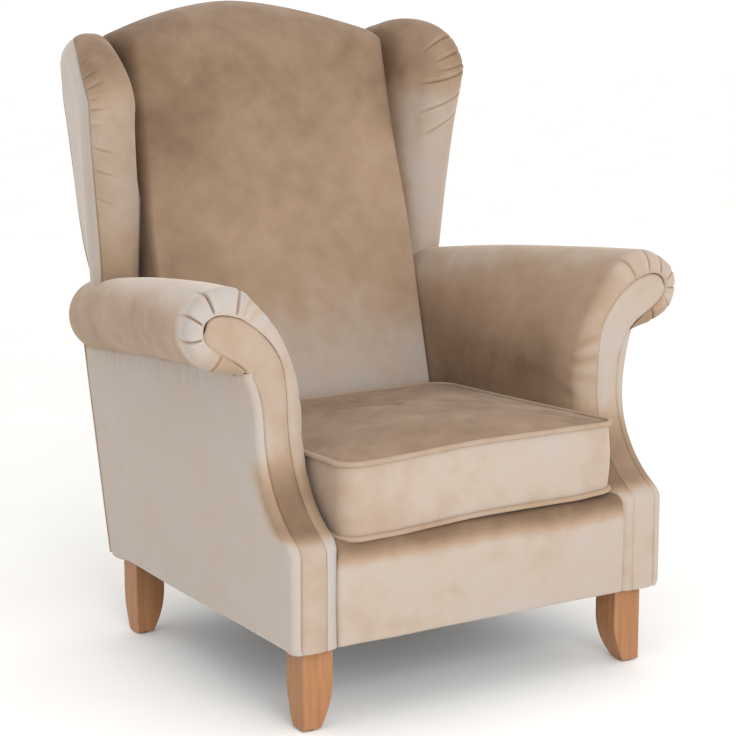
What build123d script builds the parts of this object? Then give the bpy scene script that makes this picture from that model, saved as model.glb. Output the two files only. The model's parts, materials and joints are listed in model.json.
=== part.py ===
from build123d import *
import os
from math import acos, atan2, cos, hypot, pi, radians, sin, tan

# Wing chair with rolled arms, a humped back, tapered legs and a loose seat cushion.
# Millimetres. Origin on the floor under the middle of the chair, +Z up.
# The chair faces -Y, and +X is on the right as seen from the front.

# Overall sizes
overall_height = 1100.0
overall_depth = 916.0
leg_height = 132.0
seat_half = 268.0
arm_front_thickness = 92.0
arm_rear_thickness = 72.0
deck_height = 300.0
back_rake = 14.4
back_throw = 234.0
fit_gap = 0.4

# Outer coverings
panel_thickness = 6.0
apron_thickness = 24.0
apron_drop = 1.0
facing_thickness = 10.0
facing_inset = 26.0
arm_pad_thickness = 21.6

# Side profile of the arm front
shoulder_drop = 4.0
facing_setback = 110.0
waist_height = 470.0

# Arm roll, as circles at the facing and near the outside back
roll_front_out = 138.0
roll_front_z = 622.0
roll_front_r = 66.0
roll_rear_out = 56.0
roll_rear_z = 560.0
roll_rear_r = 50.0
roll_rear_reach = 101.0
curve_front_z = 470.0
curve_rear_z = 500.0
tail_front = 25.0
tail_rear = 30.0
hollow_top = 490.0

# Inside back and crest
back_thickness = 193.0
back_crown = 8.0
crest_drop = 48.2
crest_half = 240.0
crest_power = 1.69
crest_depth_middle = 81.0
crest_depth_side = 116.0
crest_front_middle = 74.0
crest_front_side = 15.0
crest_rear_drop = 27.0
outer_crest_drop = 61.0
back_taper_z = 600.0
back_taper = 0.079
back_taper_rise = 320.0
frame_depth = 54.0

# Wings
wing_flare = 16.0
wing_lean = 0.0495
wing_offset = 314.05
wing_board = 16.0
wing_bottom = 600.0
wing_drop = 36.0
wing_shoulder_drop = 94.0
wing_panel_drop = 48.0
wing_post_drop = 85.0
wing_panel_slant = 85.0
wing_board_drop = 72.0
wing_board_lift = 58.0

# Timber frame
frame_lift = 2.4
rail_height = 120.0
rail_thickness = 25.0
lumbar_lift = 30.0
lumbar_height = 60.0
crest_rail_drop = 175.0
crest_rail_end_drop = 142.0
post_drop = 136.0
post_inner = 254.0
post_width = 36.0
post_depth = 44.0
post_set = 8.0
stump_width = 44.0
scroll_board_thickness = 22.0
arm_rail_size = 34.0
block_leg = 58.0
block_height = 40.0

# Seat springs and deck
wire_r = 1.9
spring_count = 5
spring_pitch_x = 100.0
spring_wave = 44.0
spring_half_pitch = 30.0
spring_turn_r = 12.0
insulator_thickness = 1.8
webbing_width = 50.0
webbing_thickness = 1.8
webbing_count = 5
webbing_pitch = 96.0
webbing_hold = 15.0

# Legs and their fixings
glide_height = 3.0
glide_r = 12.0
leg_foot = 32.5
leg_head_x = 54.0
leg_head_y = 52.0
leg_ease = 2.0
leg_straight = 0.42
front_leg_inset_x = 29.0
front_leg_inset_y = 19.0
rear_leg_inset_x = 0.6
rear_leg_reach = 90.0
bolt_r = 4.0
bolt_gap = 0.2
bolt_down = 38.0
bolt_up = 48.0
insert_r = 6.5
insert_length = 24.0

# Loose seat cushion
cord_r = 3.0
cord_gap = 0.6
cushion_corner_front = 30.0
cushion_corner_rear = 40.0
cushion_pull = 3.5
cushion_bulge = 3.0
cushion_boxing = 117.0
cushion_crown = 21.0
cushion_side_gap = 0.9

# Values that follow from the sizes above
front_y = -overall_depth / 2
arm_front_x = seat_half + arm_front_thickness
arm_rear_x = seat_half + arm_rear_thickness
roll_front_x = seat_half + roll_front_out
roll_rear_x = seat_half + roll_rear_out
shoulder_height = deck_height - shoulder_drop
facing_y = front_y + facing_setback
rake = radians(back_rake)
back_foot_y = front_y + overall_depth - back_throw
side_turn = atan2(arm_front_x - arm_rear_x, back_foot_y - front_y)
roll_rear_y = back_foot_y + roll_rear_reach
rear_leg_front_y = back_foot_y - rear_leg_reach
frame_bottom = leg_height + frame_lift
rail_top = frame_bottom + rail_height
post_outer = post_inner + post_width
rear_limit = panel_thickness + fit_gap
hollow_x = seat_half + arm_pad_thickness
flare = radians(wing_flare)
wing_reach = wing_offset + sin(flare) * back_foot_y
wing_top = overall_height - wing_drop
wing_shoulder = wing_top - wing_shoulder_drop
wing_panel_top = wing_top - wing_panel_drop
wing_post_top = wing_top - wing_post_drop
wing_board_top = wing_top - wing_board_drop
wing_board_low = wing_bottom + wing_board_lift
stump_rear_y = facing_y + 30.0
back_plane = Plane(origin=(0, back_foot_y, leg_height), x_dir=(1, 0, 0), z_dir=(0, -cos(rake), sin(rake)))
side_plane = Plane(
    origin=(arm_front_x + front_y * tan(side_turn), 0, 0),
    x_dir=(-sin(side_turn), cos(side_turn), 0),
    z_dir=(cos(side_turn), sin(side_turn), 0),
)
wing_plane = Plane(
    origin=((wing_reach + wing_lean * wing_top) / cos(flare), 0, wing_top),
    z_dir=(cos(flare), sin(flare), -wing_lean),
)


def mix(first, last, share):
    return first + (last - first) * share


def arm_outer(y):
    # X of the outer side of the right arm, which runs in towards the back
    return arm_front_x - (y - front_y) * tan(side_turn)


def back_y(z, depth=0.0):
    # Y of the plane that lies this depth in front of the outside back, at height z
    return back_foot_y + (z - leg_height) * tan(rake) - depth / cos(rake)


def back_run(z, depth=0.0):
    # Distance up the outside back of a point at height z and this depth
    return (z - leg_height - depth * sin(rake)) / cos(rake)


def crest_z(x):
    return overall_height - crest_drop * (abs(x) / crest_half) ** crest_power


def back_half(z):
    # Half width of the inside back, which tapers in part of the way up
    return seat_half - fit_gap - min(max(0.0, z - back_taper_z), back_taper_rise) * back_taper


def face_depth(x):
    return back_thickness - back_crown * (x / crest_half) ** 2


def arm_profile(y, inset=0.0, outer_x=None, bottom=leg_height):
    # Front view outline of the right arm at y, as lines and arcs
    outer_x = outer_x or arm_outer(y)
    share = (y - facing_y) / (roll_rear_y - facing_y)
    cx = mix(roll_front_x, roll_rear_x, share)
    cz = mix(roll_front_z, roll_rear_z, share)
    r = mix(roll_front_r, roll_rear_r, share) - inset
    start = mix(curve_front_z, curve_rear_z, share)
    tail = radians(mix(tail_front, tail_rear, share))
    inner_x = seat_half + inset
    run = cx - inner_x
    big = (run**2 + (cz - start) ** 2 - r**2) / (2 * (run - r))
    bx = inner_x + big
    turn = (pi + atan2(cz - start, cx - bx)) / 2
    first = atan2(cz - start, cx - bx)
    last = tail - pi / 2
    middle = (first + last) / 2

    def on_roll(angle):
        return (cx + r * cos(angle), cz + r * sin(angle))

    tip = on_roll(last)
    tail_z = tip[1] - (tip[0] - outer_x) * tan(tail)
    Line((inner_x, bottom), (inner_x, start))
    ThreePointArc((inner_x, start), (bx + big * cos(turn), start + big * sin(turn)), on_roll(first))
    ThreePointArc(on_roll(first), on_roll((first + middle) / 2), on_roll(middle))
    ThreePointArc(on_roll(middle), on_roll((middle + last) / 2), tip)
    Line(tip, (outer_x, tail_z))
    Line((outer_x, tail_z), (outer_x, bottom))
    Line((outer_x, bottom), (inner_x, bottom))


def front_curve(shift, bottom, top, rear_low, rear_high):
    # Side view outline behind the swept arm front, moved back by shift
    low_y = front_y + shift
    high_y = facing_y + shift
    rise = waist_height - shoulder_height
    sweep_r = (facing_setback**2 + rise**2) / (2 * facing_setback)
    half = atan2(rise, sweep_r - facing_setback) / 2
    mid = (high_y - sweep_r + sweep_r * cos(half), waist_height - sweep_r * sin(half))
    Line((low_y, bottom), (low_y, shoulder_height))
    ThreePointArc((low_y, shoulder_height), mid, (high_y, waist_height))
    Line((high_y, waist_height), (high_y, top))
    Line((high_y, top), (rear_high, top))
    Line((rear_high, top), (rear_low, bottom))
    Line((rear_low, bottom), (low_y, bottom))


def wing_plan(z, roll_y, roll_r, pull):
    # Plan outline of the right wing at height z
    inner_x = back_half(z) + fit_gap
    rear = back_y(z, rear_limit)
    reach = wing_reach + wing_lean * z - pull
    cx = (reach - sin(flare) * roll_y - roll_r) / cos(flare)
    face = max(back_y(z, face_depth(inner_x)), roll_y - roll_r + 8.0)
    away = hypot(inner_x - cx, face - roll_y)
    first = (atan2(face - roll_y, inner_x - cx) + acos(roll_r / away)) % (2 * pi)
    last = flare + 2 * pi
    middle = (first + last) / 2

    def on_roll(angle):
        return (cx + roll_r * cos(angle), roll_y + roll_r * sin(angle))

    Line((inner_x, rear), (inner_x, face))
    Line((inner_x, face), on_roll(first))
    ThreePointArc(on_roll(first), on_roll(middle), on_roll(last))
    Line(on_roll(last), ((reach - sin(flare) * rear) / cos(flare), rear))
    Line(((reach - sin(flare) * rear) / cos(flare), rear), (inner_x, rear))


# Height, depth of the roll centre from the outside back, roll radius and inward pull of each wing section
wing_sections = [
    (wing_bottom, 110.2, 31.0, 0.0),
    (mix(wing_bottom, wing_shoulder, 0.135), 128.0, 33.0, 0.0),
    (mix(wing_bottom, wing_shoulder, 0.473), 170.1, 36.0, 0.0),
    (mix(wing_bottom, wing_shoulder, 0.811), 214.2, 38.0, 0.0),
    (wing_shoulder, 236.3, 40.0, 0.0),
    (wing_top - 0.681 * wing_shoulder_drop, 230.0, 40.0, 1.0),
    (wing_top - 0.415 * wing_shoulder_drop, 218.4, 38.0, 4.0),
    (wing_top - 0.202 * wing_shoulder_drop, 199.5, 34.0, 10.0),
    (wing_top - 0.064 * wing_shoulder_drop, 178.9, 27.0, 18.0),
    (wing_top, 157.4, 18.0, 30.0),
]
wing_levels = [(z, back_y(z) - depth, r, pull) for z, depth, r, pull in wing_sections]
# Depth from the outside back and drop from the wing's top, along the slope to its rear corner
wing_slope = [(175.4, -1.0), (137.6, 3.0), (85.8, 14.0), (41.2, 28.0), (18.6, 42.0), (1.0, 64.0)]
wing_slope_line = [(back_y(wing_top - drop) - depth, wing_top - drop) for depth, drop in wing_slope]
os.makedirs("parts", exist_ok=True)

# Timber seat frame
with BuildPart() as front_rail:
    with BuildSketch(Plane.XY.offset(frame_bottom)):
        with Locations((0, front_y + apron_thickness + fit_gap)):
            Rectangle(2 * seat_half + 50, rail_thickness, align=(Align.CENTER, Align.MIN))
    extrude(amount=rail_height)
front_rail.part.label = "front_rail"
export_step(front_rail.part, "parts/front_rail.step")
stump_inner = seat_half + 25 + fit_gap
front_rail_rear = front_y + apron_thickness + fit_gap + rail_thickness

rear_rail_front = back_y(frame_bottom, post_set + post_depth) + 8.0
with BuildPart() as rear_rail:
    with BuildSketch(Plane.XY.offset(frame_bottom)):
        with Locations((0, rear_rail_front)):
            Rectangle(2 * post_inner, rail_thickness, align=(Align.CENTER, Align.MIN))
    extrude(amount=rail_height)
rear_rail.part.label = "rear_rail"
export_step(rear_rail.part, "parts/rear_rail.step")

front_bolt = (
    arm_front_x - front_leg_inset_x - leg_head_x / 2 + 10.0,
    front_y + front_leg_inset_y + leg_head_y / 2,
)
rear_bolt = (post_outer + rail_thickness / 2, rear_leg_front_y + leg_head_y / 2)

with BuildPart() as side_rail_right:
    with BuildSketch(Plane.XY.offset(frame_bottom)):
        with Locations((post_outer, stump_rear_y)):
            side_length = back_y(frame_bottom, rear_limit) - 8.0 - stump_rear_y
            Rectangle(rail_thickness, side_length, align=(Align.MIN, Align.MIN))
    extrude(amount=rail_height)
    with BuildSketch(Plane.XY.offset(frame_bottom)):
        with Locations(rear_bolt):
            Circle(bolt_r + bolt_gap)
    extrude(amount=bolt_up + 2.0, mode=Mode.SUBTRACT)
side_rail_right.part.label = "side_rail_right"
export_step(side_rail_right.part, "parts/side_rail_right.step")

with BuildPart() as side_rail_left:
    mirror(side_rail_right.part, about=Plane.YZ)
side_rail_left.part.label = "side_rail_left"
export_step(side_rail_left.part, "parts/side_rail_left.step")

rear_block_y = back_y(frame_bottom, post_set + post_depth) - fit_gap
with BuildPart() as corner_blocks:
    with BuildSketch(Plane.XY.offset(frame_bottom)):
        with BuildLine():
            Polyline(
                (stump_inner - fit_gap, front_rail_rear),
                (stump_inner - fit_gap - block_leg, front_rail_rear),
                (stump_inner - fit_gap, front_rail_rear + block_leg),
                close=True,
            )
        make_face()
        with BuildLine():
            Polyline(
                (post_outer, rear_block_y),
                (post_outer - block_leg, rear_block_y),
                (post_outer, rear_block_y - block_leg),
                close=True,
            )
        make_face()
        mirror(about=Plane.YZ)
    extrude(amount=block_height)
corner_blocks.part.label = "corner_blocks"
export_step(corner_blocks.part, "parts/corner_blocks.step")

# Back frame, square to the rake
post_foot = back_run(frame_bottom, 0.0)
post_head = back_run(overall_height - post_drop, 0.0)
with BuildPart() as back_post_right:
    with BuildSketch(back_plane.offset(post_set)):
        with Locations((post_inner, post_foot)):
            Rectangle(post_width, post_head - post_foot, align=(Align.MIN, Align.MIN))
    extrude(amount=post_depth)
back_post_right.part.label = "back_post_right"
export_step(back_post_right.part, "parts/back_post_right.step")

with BuildPart() as back_post_left:
    mirror(back_post_right.part, about=Plane.YZ)
back_post_left.part.label = "back_post_left"
export_step(back_post_left.part, "parts/back_post_left.step")

rail_set = post_set + post_depth - rail_thickness - webbing_thickness - fit_gap
with BuildPart() as lumbar_rail:
    with BuildSketch(back_plane.offset(rail_set)):
        with Locations((0, back_run(deck_height + lumbar_lift))):
            Rectangle(2 * post_inner, lumbar_height, align=(Align.CENTER, Align.MIN))
    extrude(amount=rail_thickness)
lumbar_rail.part.label = "lumbar_rail"
export_step(lumbar_rail.part, "parts/lumbar_rail.step")

crest_cover = 52.0
crest_rail_low = overall_height - crest_rail_drop
crest_rail_end = overall_height - crest_rail_end_drop
strap_low = deck_height + lumbar_lift + webbing_hold
strap_high = crest_rail_low + 2 * webbing_hold
with BuildPart() as crest_rail:
    with BuildSketch(Plane.XZ.offset(-overall_depth)):
        with BuildLine():
            Line((-post_inner, crest_rail_low), (post_inner, crest_rail_low))
            Line((post_inner, crest_rail_low), (post_inner, crest_rail_end))
            ThreePointArc(
                (post_inner, crest_rail_end), (0, crest_z(0) - crest_cover), (-post_inner, crest_rail_end)
            )
            Line((-post_inner, crest_rail_end), (-post_inner, crest_rail_low))
        make_face()
    extrude(amount=2 * overall_depth)
    with BuildSketch(back_plane.offset(rail_set)):
        Rectangle(4 * overall_depth, 4 * overall_height)
    extrude(amount=rail_thickness, mode=Mode.INTERSECT)
crest_rail.part.label = "crest_rail"
export_step(crest_rail.part, "parts/crest_rail.step")

with BuildPart() as back_webbing:
    with BuildSketch(back_plane.offset(rail_set + rail_thickness + 0.2)):
        with Locations((0, back_run(strap_low))):
            with GridLocations(webbing_pitch, 1.0, webbing_count, 1):
                strap = back_run(strap_high) - back_run(strap_low)
                Rectangle(webbing_width, strap, align=(Align.CENTER, Align.MIN))
    extrude(amount=webbing_thickness)
back_webbing.part.label = "back_webbing"
export_step(back_webbing.part, "parts/back_webbing.step")

# Arm frame
with BuildPart() as arm_stump_right:
    with BuildSketch(Plane.YZ.offset(stump_inner)):
        with BuildLine():
            shift = facing_thickness + fit_gap
            front_curve(shift, frame_bottom, hollow_top, stump_rear_y, stump_rear_y)
        make_face()
    extrude(amount=stump_width)
    with BuildSketch(Plane.XY.offset(frame_bottom)):
        with Locations(front_bolt):
            Circle(bolt_r + bolt_gap)
    extrude(amount=bolt_up + 2.0, mode=Mode.SUBTRACT)
arm_stump_right.part.label = "arm_stump_right"
export_step(arm_stump_right.part, "parts/arm_stump_right.step")

with BuildPart() as arm_stump_left:
    mirror(arm_stump_right.part, about=Plane.YZ)
arm_stump_left.part.label = "arm_stump_left"
export_step(arm_stump_left.part, "parts/arm_stump_left.step")

board_inset = facing_inset + 12.0
board_front = facing_y + facing_thickness + fit_gap
board_outer = stump_inner + stump_width
with BuildPart() as scroll_board_right:
    with BuildSketch(Plane.XZ.offset(-board_front)):
        with BuildLine():
            arm_profile(facing_y, board_inset, board_outer)
        make_face()
        with Locations((0, hollow_top)):
            Rectangle(2 * overall_depth, overall_height, align=(Align.CENTER, Align.MAX), mode=Mode.SUBTRACT)
    extrude(amount=-scroll_board_thickness)
scroll_board_right.part.label = "scroll_board_right"
export_step(scroll_board_right.part, "parts/scroll_board_right.step")

with BuildPart() as scroll_board_left:
    mirror(scroll_board_right.part, about=Plane.YZ)
scroll_board_left.part.label = "scroll_board_left"
export_step(scroll_board_left.part, "parts/scroll_board_left.step")

arm_rail_front = board_front + scroll_board_thickness
arm_rail_rear = back_y(roll_rear_z - 40.0, rear_limit) - 4.0
arm_rail_ends = [
    (arm_rail_front, roll_front_x - 15.0, roll_front_z - 10.0),
    (arm_rail_rear, post_outer + fit_gap + arm_rail_size / 2, roll_rear_z - 10.0),
]
with BuildPart() as arm_rail_right:
    for end_y, end_x, end_z in arm_rail_ends:
        with BuildSketch(Plane.XZ.offset(-end_y)):
            with Locations((end_x, end_z)):
                Rectangle(arm_rail_size, arm_rail_size)
    loft(ruled=True)
arm_rail_right.part.label = "arm_rail_right"
export_step(arm_rail_right.part, "parts/arm_rail_right.step")

with BuildPart() as arm_rail_left:
    mirror(arm_rail_right.part, about=Plane.YZ)
arm_rail_left.part.label = "arm_rail_left"
export_step(arm_rail_left.part, "parts/arm_rail_left.step")

# Room for the arm rail and the scroll board inside the arm pad
with BuildPart() as arm_room:
    for end_y, end_x, end_z in arm_rail_ends:
        with BuildSketch(Plane.XZ.offset(-end_y)):
            with Locations((end_x, end_z)):
                Rectangle(arm_rail_size + 2 * fit_gap, arm_rail_size + 2 * fit_gap)
    loft(ruled=True)
    with BuildSketch(Plane.XZ.offset(-arm_rail_rear)):
        with Locations(arm_rail_ends[1][1:]):
            Rectangle(arm_rail_size + 2 * fit_gap, arm_rail_size + 2 * fit_gap)
    extrude(amount=-overall_depth)
    with BuildSketch(Plane.XZ.offset(-(front_y - 10.0))):
        with BuildLine():
            arm_profile(facing_y, board_inset - fit_gap, board_outer + fit_gap)
        make_face()
        with Locations((0, hollow_top - 10.0)):
            Rectangle(2 * overall_depth, overall_height, align=(Align.CENTER, Align.MAX), mode=Mode.SUBTRACT)
    extrude(amount=-(board_front + scroll_board_thickness + fit_gap - front_y + 10.0))

# Front facing of the arm, between the piped edges
facing_outer = arm_outer(facing_y + facing_thickness) - panel_thickness - 2 * fit_gap
with BuildPart() as arm_facing_right:
    with BuildSketch(Plane.XZ.offset(-(front_y - 5.0))):
        with BuildLine():
            arm_profile(facing_y, facing_inset, facing_outer, leg_height)
        make_face()
    extrude(amount=-(facing_setback + facing_thickness + 5.0))
    with BuildSketch(Plane.YZ):
        with BuildLine():
            front_curve(0.0, leg_height, overall_height, overall_depth, overall_depth)
        make_face()
    extrude(amount=overall_depth, mode=Mode.INTERSECT)
    with BuildSketch(Plane.YZ):
        with BuildLine():
            front_curve(facing_thickness, leg_height - 1, overall_height, overall_depth, overall_depth)
        make_face()
    extrude(amount=overall_depth, mode=Mode.SUBTRACT)
arm_facing_right.part.label = "arm_facing_right"
export_step(arm_facing_right.part, "parts/arm_facing_right.step")

with BuildPart() as arm_facing_left:
    mirror(arm_facing_right.part, about=Plane.YZ)
arm_facing_left.part.label = "arm_facing_left"
export_step(arm_facing_left.part, "parts/arm_facing_left.step")

# Outer arm panel, tucked up under the roll
panel_tuck = (roll_front_x - arm_outer(facing_y)) * tan(radians(tail_front))
panel_top_front = roll_front_z - roll_front_r - panel_tuck - 10.0
panel_top_rear = roll_rear_z - roll_rear_r - 8.0
rear_low = back_y(leg_height, rear_limit)
rear_high = back_y(panel_top_rear, rear_limit)
with BuildPart() as arm_outer_panel_right:
    with BuildSketch(side_plane.offset(-panel_thickness)):
        with BuildLine():
            front_curve(0.0, leg_height, overall_height, rear_low, back_y(overall_height, rear_limit))
        make_face()
    extrude(amount=panel_thickness)
    with BuildSketch(side_plane.offset(-panel_thickness - 1.0)):
        with BuildLine():
            Polyline(
                (facing_y - 200.0, panel_top_front),
                (facing_y, panel_top_front),
                (rear_high, panel_top_rear),
                (overall_depth, panel_top_rear),
                (overall_depth, overall_height + 10.0),
                (facing_y - 200.0, overall_height + 10.0),
                close=True,
            )
        make_face()
    extrude(amount=panel_thickness + 2.0, mode=Mode.SUBTRACT)
arm_outer_panel_right.part.label = "arm_outer_panel_right"
export_step(arm_outer_panel_right.part, "parts/arm_outer_panel_right.step")

with BuildPart() as arm_outer_panel_left:
    mirror(arm_outer_panel_right.part, about=Plane.YZ)
arm_outer_panel_left.part.label = "arm_outer_panel_left"
export_step(arm_outer_panel_left.part, "parts/arm_outer_panel_left.step")

# Arm pad with its roll
arm_far_y = roll_rear_y + 20.0
with BuildPart() as arm_pad_right:
    for section_y in (front_y - 1.0, arm_far_y):
        with BuildSketch(Plane.XZ.offset(-section_y)):
            with BuildLine():
                arm_profile(section_y)
            make_face()
    loft(ruled=True)
    with BuildSketch(Plane.YZ):
        with BuildLine():
            front_curve(0.0, leg_height, overall_height, rear_low, back_y(overall_height, rear_limit))
        make_face()
    extrude(amount=overall_depth, mode=Mode.INTERSECT)
    # hollow that holds the stump and the side rail
    with BuildSketch(Plane.YZ.offset(hollow_x)):
        with Locations((0, hollow_top)):
            Rectangle(3 * overall_depth, overall_height, align=(Align.CENTER, Align.MAX))
    extrude(amount=overall_depth, mode=Mode.SUBTRACT)
    # seat for the top edge of the outer panel
    with BuildSketch(side_plane.offset(-panel_thickness - fit_gap)):
        with BuildLine():
            Polyline(
                (facing_y - 200.0, panel_top_front + fit_gap),
                (facing_y, panel_top_front + fit_gap),
                (rear_high, panel_top_rear + fit_gap),
                (overall_depth, panel_top_rear + fit_gap),
                (overall_depth, 0),
                (facing_y - 200.0, 0),
                close=True,
            )
        make_face()
    extrude(amount=overall_depth, mode=Mode.SUBTRACT)
    # open space under the seat deck, behind the front strip
    with BuildSketch(Plane.YZ.offset(seat_half - 10.0)):
        with Locations((front_y + front_leg_inset_y - fit_gap, deck_height - 14.0)):
            Rectangle(3 * overall_depth, overall_height, align=(Align.MIN, Align.MAX))
    extrude(amount=overall_depth, mode=Mode.SUBTRACT)
    # slot for the back post
    with BuildSketch(back_plane):
        with Locations((post_outer + fit_gap, 0)):
            Rectangle(overall_depth, 4 * overall_height, align=(Align.MAX, Align.CENTER))
    extrude(amount=post_set + post_depth + fit_gap, mode=Mode.SUBTRACT)
    # recess for the facing, and room for the arm frame
    with BuildSketch(Plane.XZ.offset(-(front_y - 5.0))):
        with BuildLine():
            arm_profile(facing_y, facing_inset - fit_gap, facing_outer + 1.4, leg_height - 5.0)
        make_face()
    recess = extrude(amount=-(facing_setback + facing_thickness + 40.0), mode=Mode.PRIVATE)
    with BuildSketch(Plane.YZ, mode=Mode.PRIVATE) as behind_facing:
        with BuildLine():
            back_shift = facing_thickness + fit_gap
            front_curve(back_shift, 0.0, overall_height, overall_depth, overall_depth)
        make_face()
    behind = extrude(behind_facing.sketch, amount=overall_depth, mode=Mode.PRIVATE)
    add(recess - behind, mode=Mode.SUBTRACT)
    add(arm_room.part, mode=Mode.SUBTRACT)
arm_pad_right.part.label = "arm_pad_right"
export_step(arm_pad_right.part, "parts/arm_pad_right.step")

with BuildPart() as arm_pad_left:
    mirror(arm_pad_right.part, about=Plane.YZ)
arm_pad_left.part.label = "arm_pad_left"
export_step(arm_pad_left.part, "parts/arm_pad_left.step")

# Arm outline grown by the fit, which the wing sits on
with BuildPart() as arm_seat:
    for section_y in (front_y - 1.0, arm_far_y):
        with BuildSketch(Plane.XZ.offset(-section_y)):
            with BuildLine():
                arm_profile(section_y, -fit_gap)
            make_face()
    loft(ruled=True)

# Wing board and outer wing panel, both flat and parallel to the flared side
with BuildPart() as wing_outer_panel_right:
    with BuildSketch(wing_plane):
        Rectangle(4 * overall_depth, 4 * overall_height)
    extrude(amount=-panel_thickness)
    with BuildSketch(Plane.YZ):
        with BuildLine():
            Polyline(
                (wing_levels[1][1] + 12.0, wing_bottom),
                (wing_levels[1][1] + 12.0, wing_levels[1][0] + 2.0),
                (wing_levels[2][1] + 12.0, wing_levels[2][0]),
                (wing_levels[3][1] + 12.0, wing_levels[3][0]),
                (wing_levels[4][1] + 12.0, wing_levels[4][0]),
                (wing_levels[5][1] + 14.0, wing_levels[5][0]),
                (wing_levels[6][1] + 20.0, wing_panel_top),
                (back_y(wing_panel_top) - 70.0, wing_panel_top),
                (back_y(wing_top - wing_panel_slant, rear_limit), wing_top - wing_panel_slant),
                (back_y(wing_bottom, rear_limit), wing_bottom),
                close=True,
            )
        make_face()
    extrude(amount=overall_depth, mode=Mode.INTERSECT)
    add(arm_seat.part, mode=Mode.SUBTRACT)
wing_outer_panel_right.part.label = "wing_outer_panel_right"
export_step(wing_outer_panel_right.part, "parts/wing_outer_panel_right.step")

with BuildPart() as wing_outer_panel_left:
    mirror(wing_outer_panel_right.part, about=Plane.YZ)
wing_outer_panel_left.part.label = "wing_outer_panel_left"
export_step(wing_outer_panel_left.part, "parts/wing_outer_panel_left.step")

with BuildPart() as wing_frame_right:
    with BuildSketch(wing_plane.offset(-panel_thickness - fit_gap)):
        Rectangle(4 * overall_depth, 4 * overall_height)
    extrude(amount=-wing_board)
    with BuildSketch(Plane.YZ):
        with BuildLine():
            Polyline(
                (wing_levels[1][1] + 26.0, wing_board_low),
                (wing_levels[2][1] + 26.0, wing_levels[2][0]),
                (wing_levels[3][1] + 26.0, wing_levels[3][0]),
                (wing_levels[4][1] + 26.0, wing_levels[4][0] - 10.0),
                (wing_levels[6][1] + 26.0, wing_board_top),
                (back_y(wing_board_top, rear_limit + 2.0), wing_board_top),
                (back_y(wing_board_low, rear_limit + 2.0), wing_board_low),
                close=True,
            )
        make_face()
    extrude(amount=overall_depth, mode=Mode.INTERSECT)
wing_frame_right.part.label = "wing_frame_right"
export_step(wing_frame_right.part, "parts/wing_frame_right.step")

with BuildPart() as wing_frame_left:
    mirror(wing_frame_right.part, about=Plane.YZ)
wing_frame_left.part.label = "wing_frame_left"
export_step(wing_frame_left.part, "parts/wing_frame_left.step")

# Room inside the wing pad for the outer panel and the board
with BuildPart() as wing_panel_room:
    with BuildSketch(wing_plane.offset(50.0)):
        Rectangle(4 * overall_depth, 4 * overall_height)
    extrude(amount=-(panel_thickness + fit_gap + 50.0))
    with BuildSketch(Plane.YZ):
        with BuildLine():
            Polyline(
                (wing_levels[1][1] + 11.0, wing_bottom - 40.0),
                (wing_levels[1][1] + 11.0, wing_levels[1][0] + 2.0),
                (wing_levels[2][1] + 11.0, wing_levels[2][0]),
                (wing_levels[3][1] + 11.0, wing_levels[3][0]),
                (wing_levels[4][1] + 11.0, wing_levels[4][0]),
                (wing_levels[5][1] + 13.0, wing_levels[5][0]),
                (wing_levels[6][1] + 19.0, wing_panel_top + fit_gap),
                (back_y(wing_panel_top) - 70.0 + fit_gap, wing_panel_top + fit_gap),
                (back_y(wing_top - wing_panel_slant) + 2.0, wing_top - wing_panel_slant + fit_gap),
                (overall_depth, wing_top - wing_panel_slant + fit_gap),
                (overall_depth, wing_bottom - 40.0),
                close=True,
            )
        make_face()
    extrude(amount=overall_depth, mode=Mode.INTERSECT)
with BuildPart() as wing_board_room:
    with BuildSketch(wing_plane.offset(-panel_thickness)):
        Rectangle(4 * overall_depth, 4 * overall_height)
    extrude(amount=-(wing_board + 2 * fit_gap))
    with BuildSketch(Plane.YZ):
        with BuildLine():
            Polyline(
                (wing_levels[1][1] + 25.0, wing_bottom - 40.0),
                (wing_levels[1][1] + 25.0, wing_board_low),
                (wing_levels[2][1] + 25.0, wing_levels[2][0]),
                (wing_levels[3][1] + 25.0, wing_levels[3][0]),
                (wing_levels[4][1] + 25.0, wing_levels[4][0] - 9.0),
                (wing_levels[6][1] + 25.0, wing_board_top + 1.0),
                (overall_depth, wing_board_top + 1.0),
                (overall_depth, wing_bottom - 40.0),
                close=True,
            )
        make_face()
    extrude(amount=overall_depth, mode=Mode.INTERSECT)

with BuildPart() as wing_pad_right:
    for level_z, roll_y, roll_r, pull in wing_levels:
        with BuildSketch(Plane.XY.offset(level_z)):
            with BuildLine():
                wing_plan(level_z, roll_y, roll_r, pull)
            make_face()
    loft(ruled=True)
    # top that slopes down to the rear corner
    with BuildSketch(Plane.YZ):
        with BuildLine():
            Polyline(
                (-overall_depth, 0),
                (-overall_depth, wing_top + 1.0),
                *wing_slope_line,
                (overall_depth, wing_slope_line[-1][1]),
                (overall_depth, 0),
                close=True,
            )
        make_face()
    extrude(amount=overall_depth, mode=Mode.INTERSECT)
    add(arm_seat.part, mode=Mode.SUBTRACT)
    add(wing_panel_room.part, mode=Mode.SUBTRACT)
    add(wing_board_room.part, mode=Mode.SUBTRACT)
    # hollow round the back post
    with BuildSketch(back_plane):
        with Locations((0, back_run(wing_post_top, post_set + post_depth))):
            Rectangle(4 * overall_depth, overall_height, align=(Align.CENTER, Align.MAX))
    extrude(amount=post_set + post_depth + fit_gap, mode=Mode.SUBTRACT)
wing_pad_right.part.label = "wing_pad_right"
export_step(wing_pad_right.part, "parts/wing_pad_right.step")

with BuildPart() as wing_pad_left:
    mirror(wing_pad_right.part, about=Plane.YZ)
wing_pad_left.part.label = "wing_pad_left"
export_step(wing_pad_left.part, "parts/wing_pad_left.step")

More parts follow.
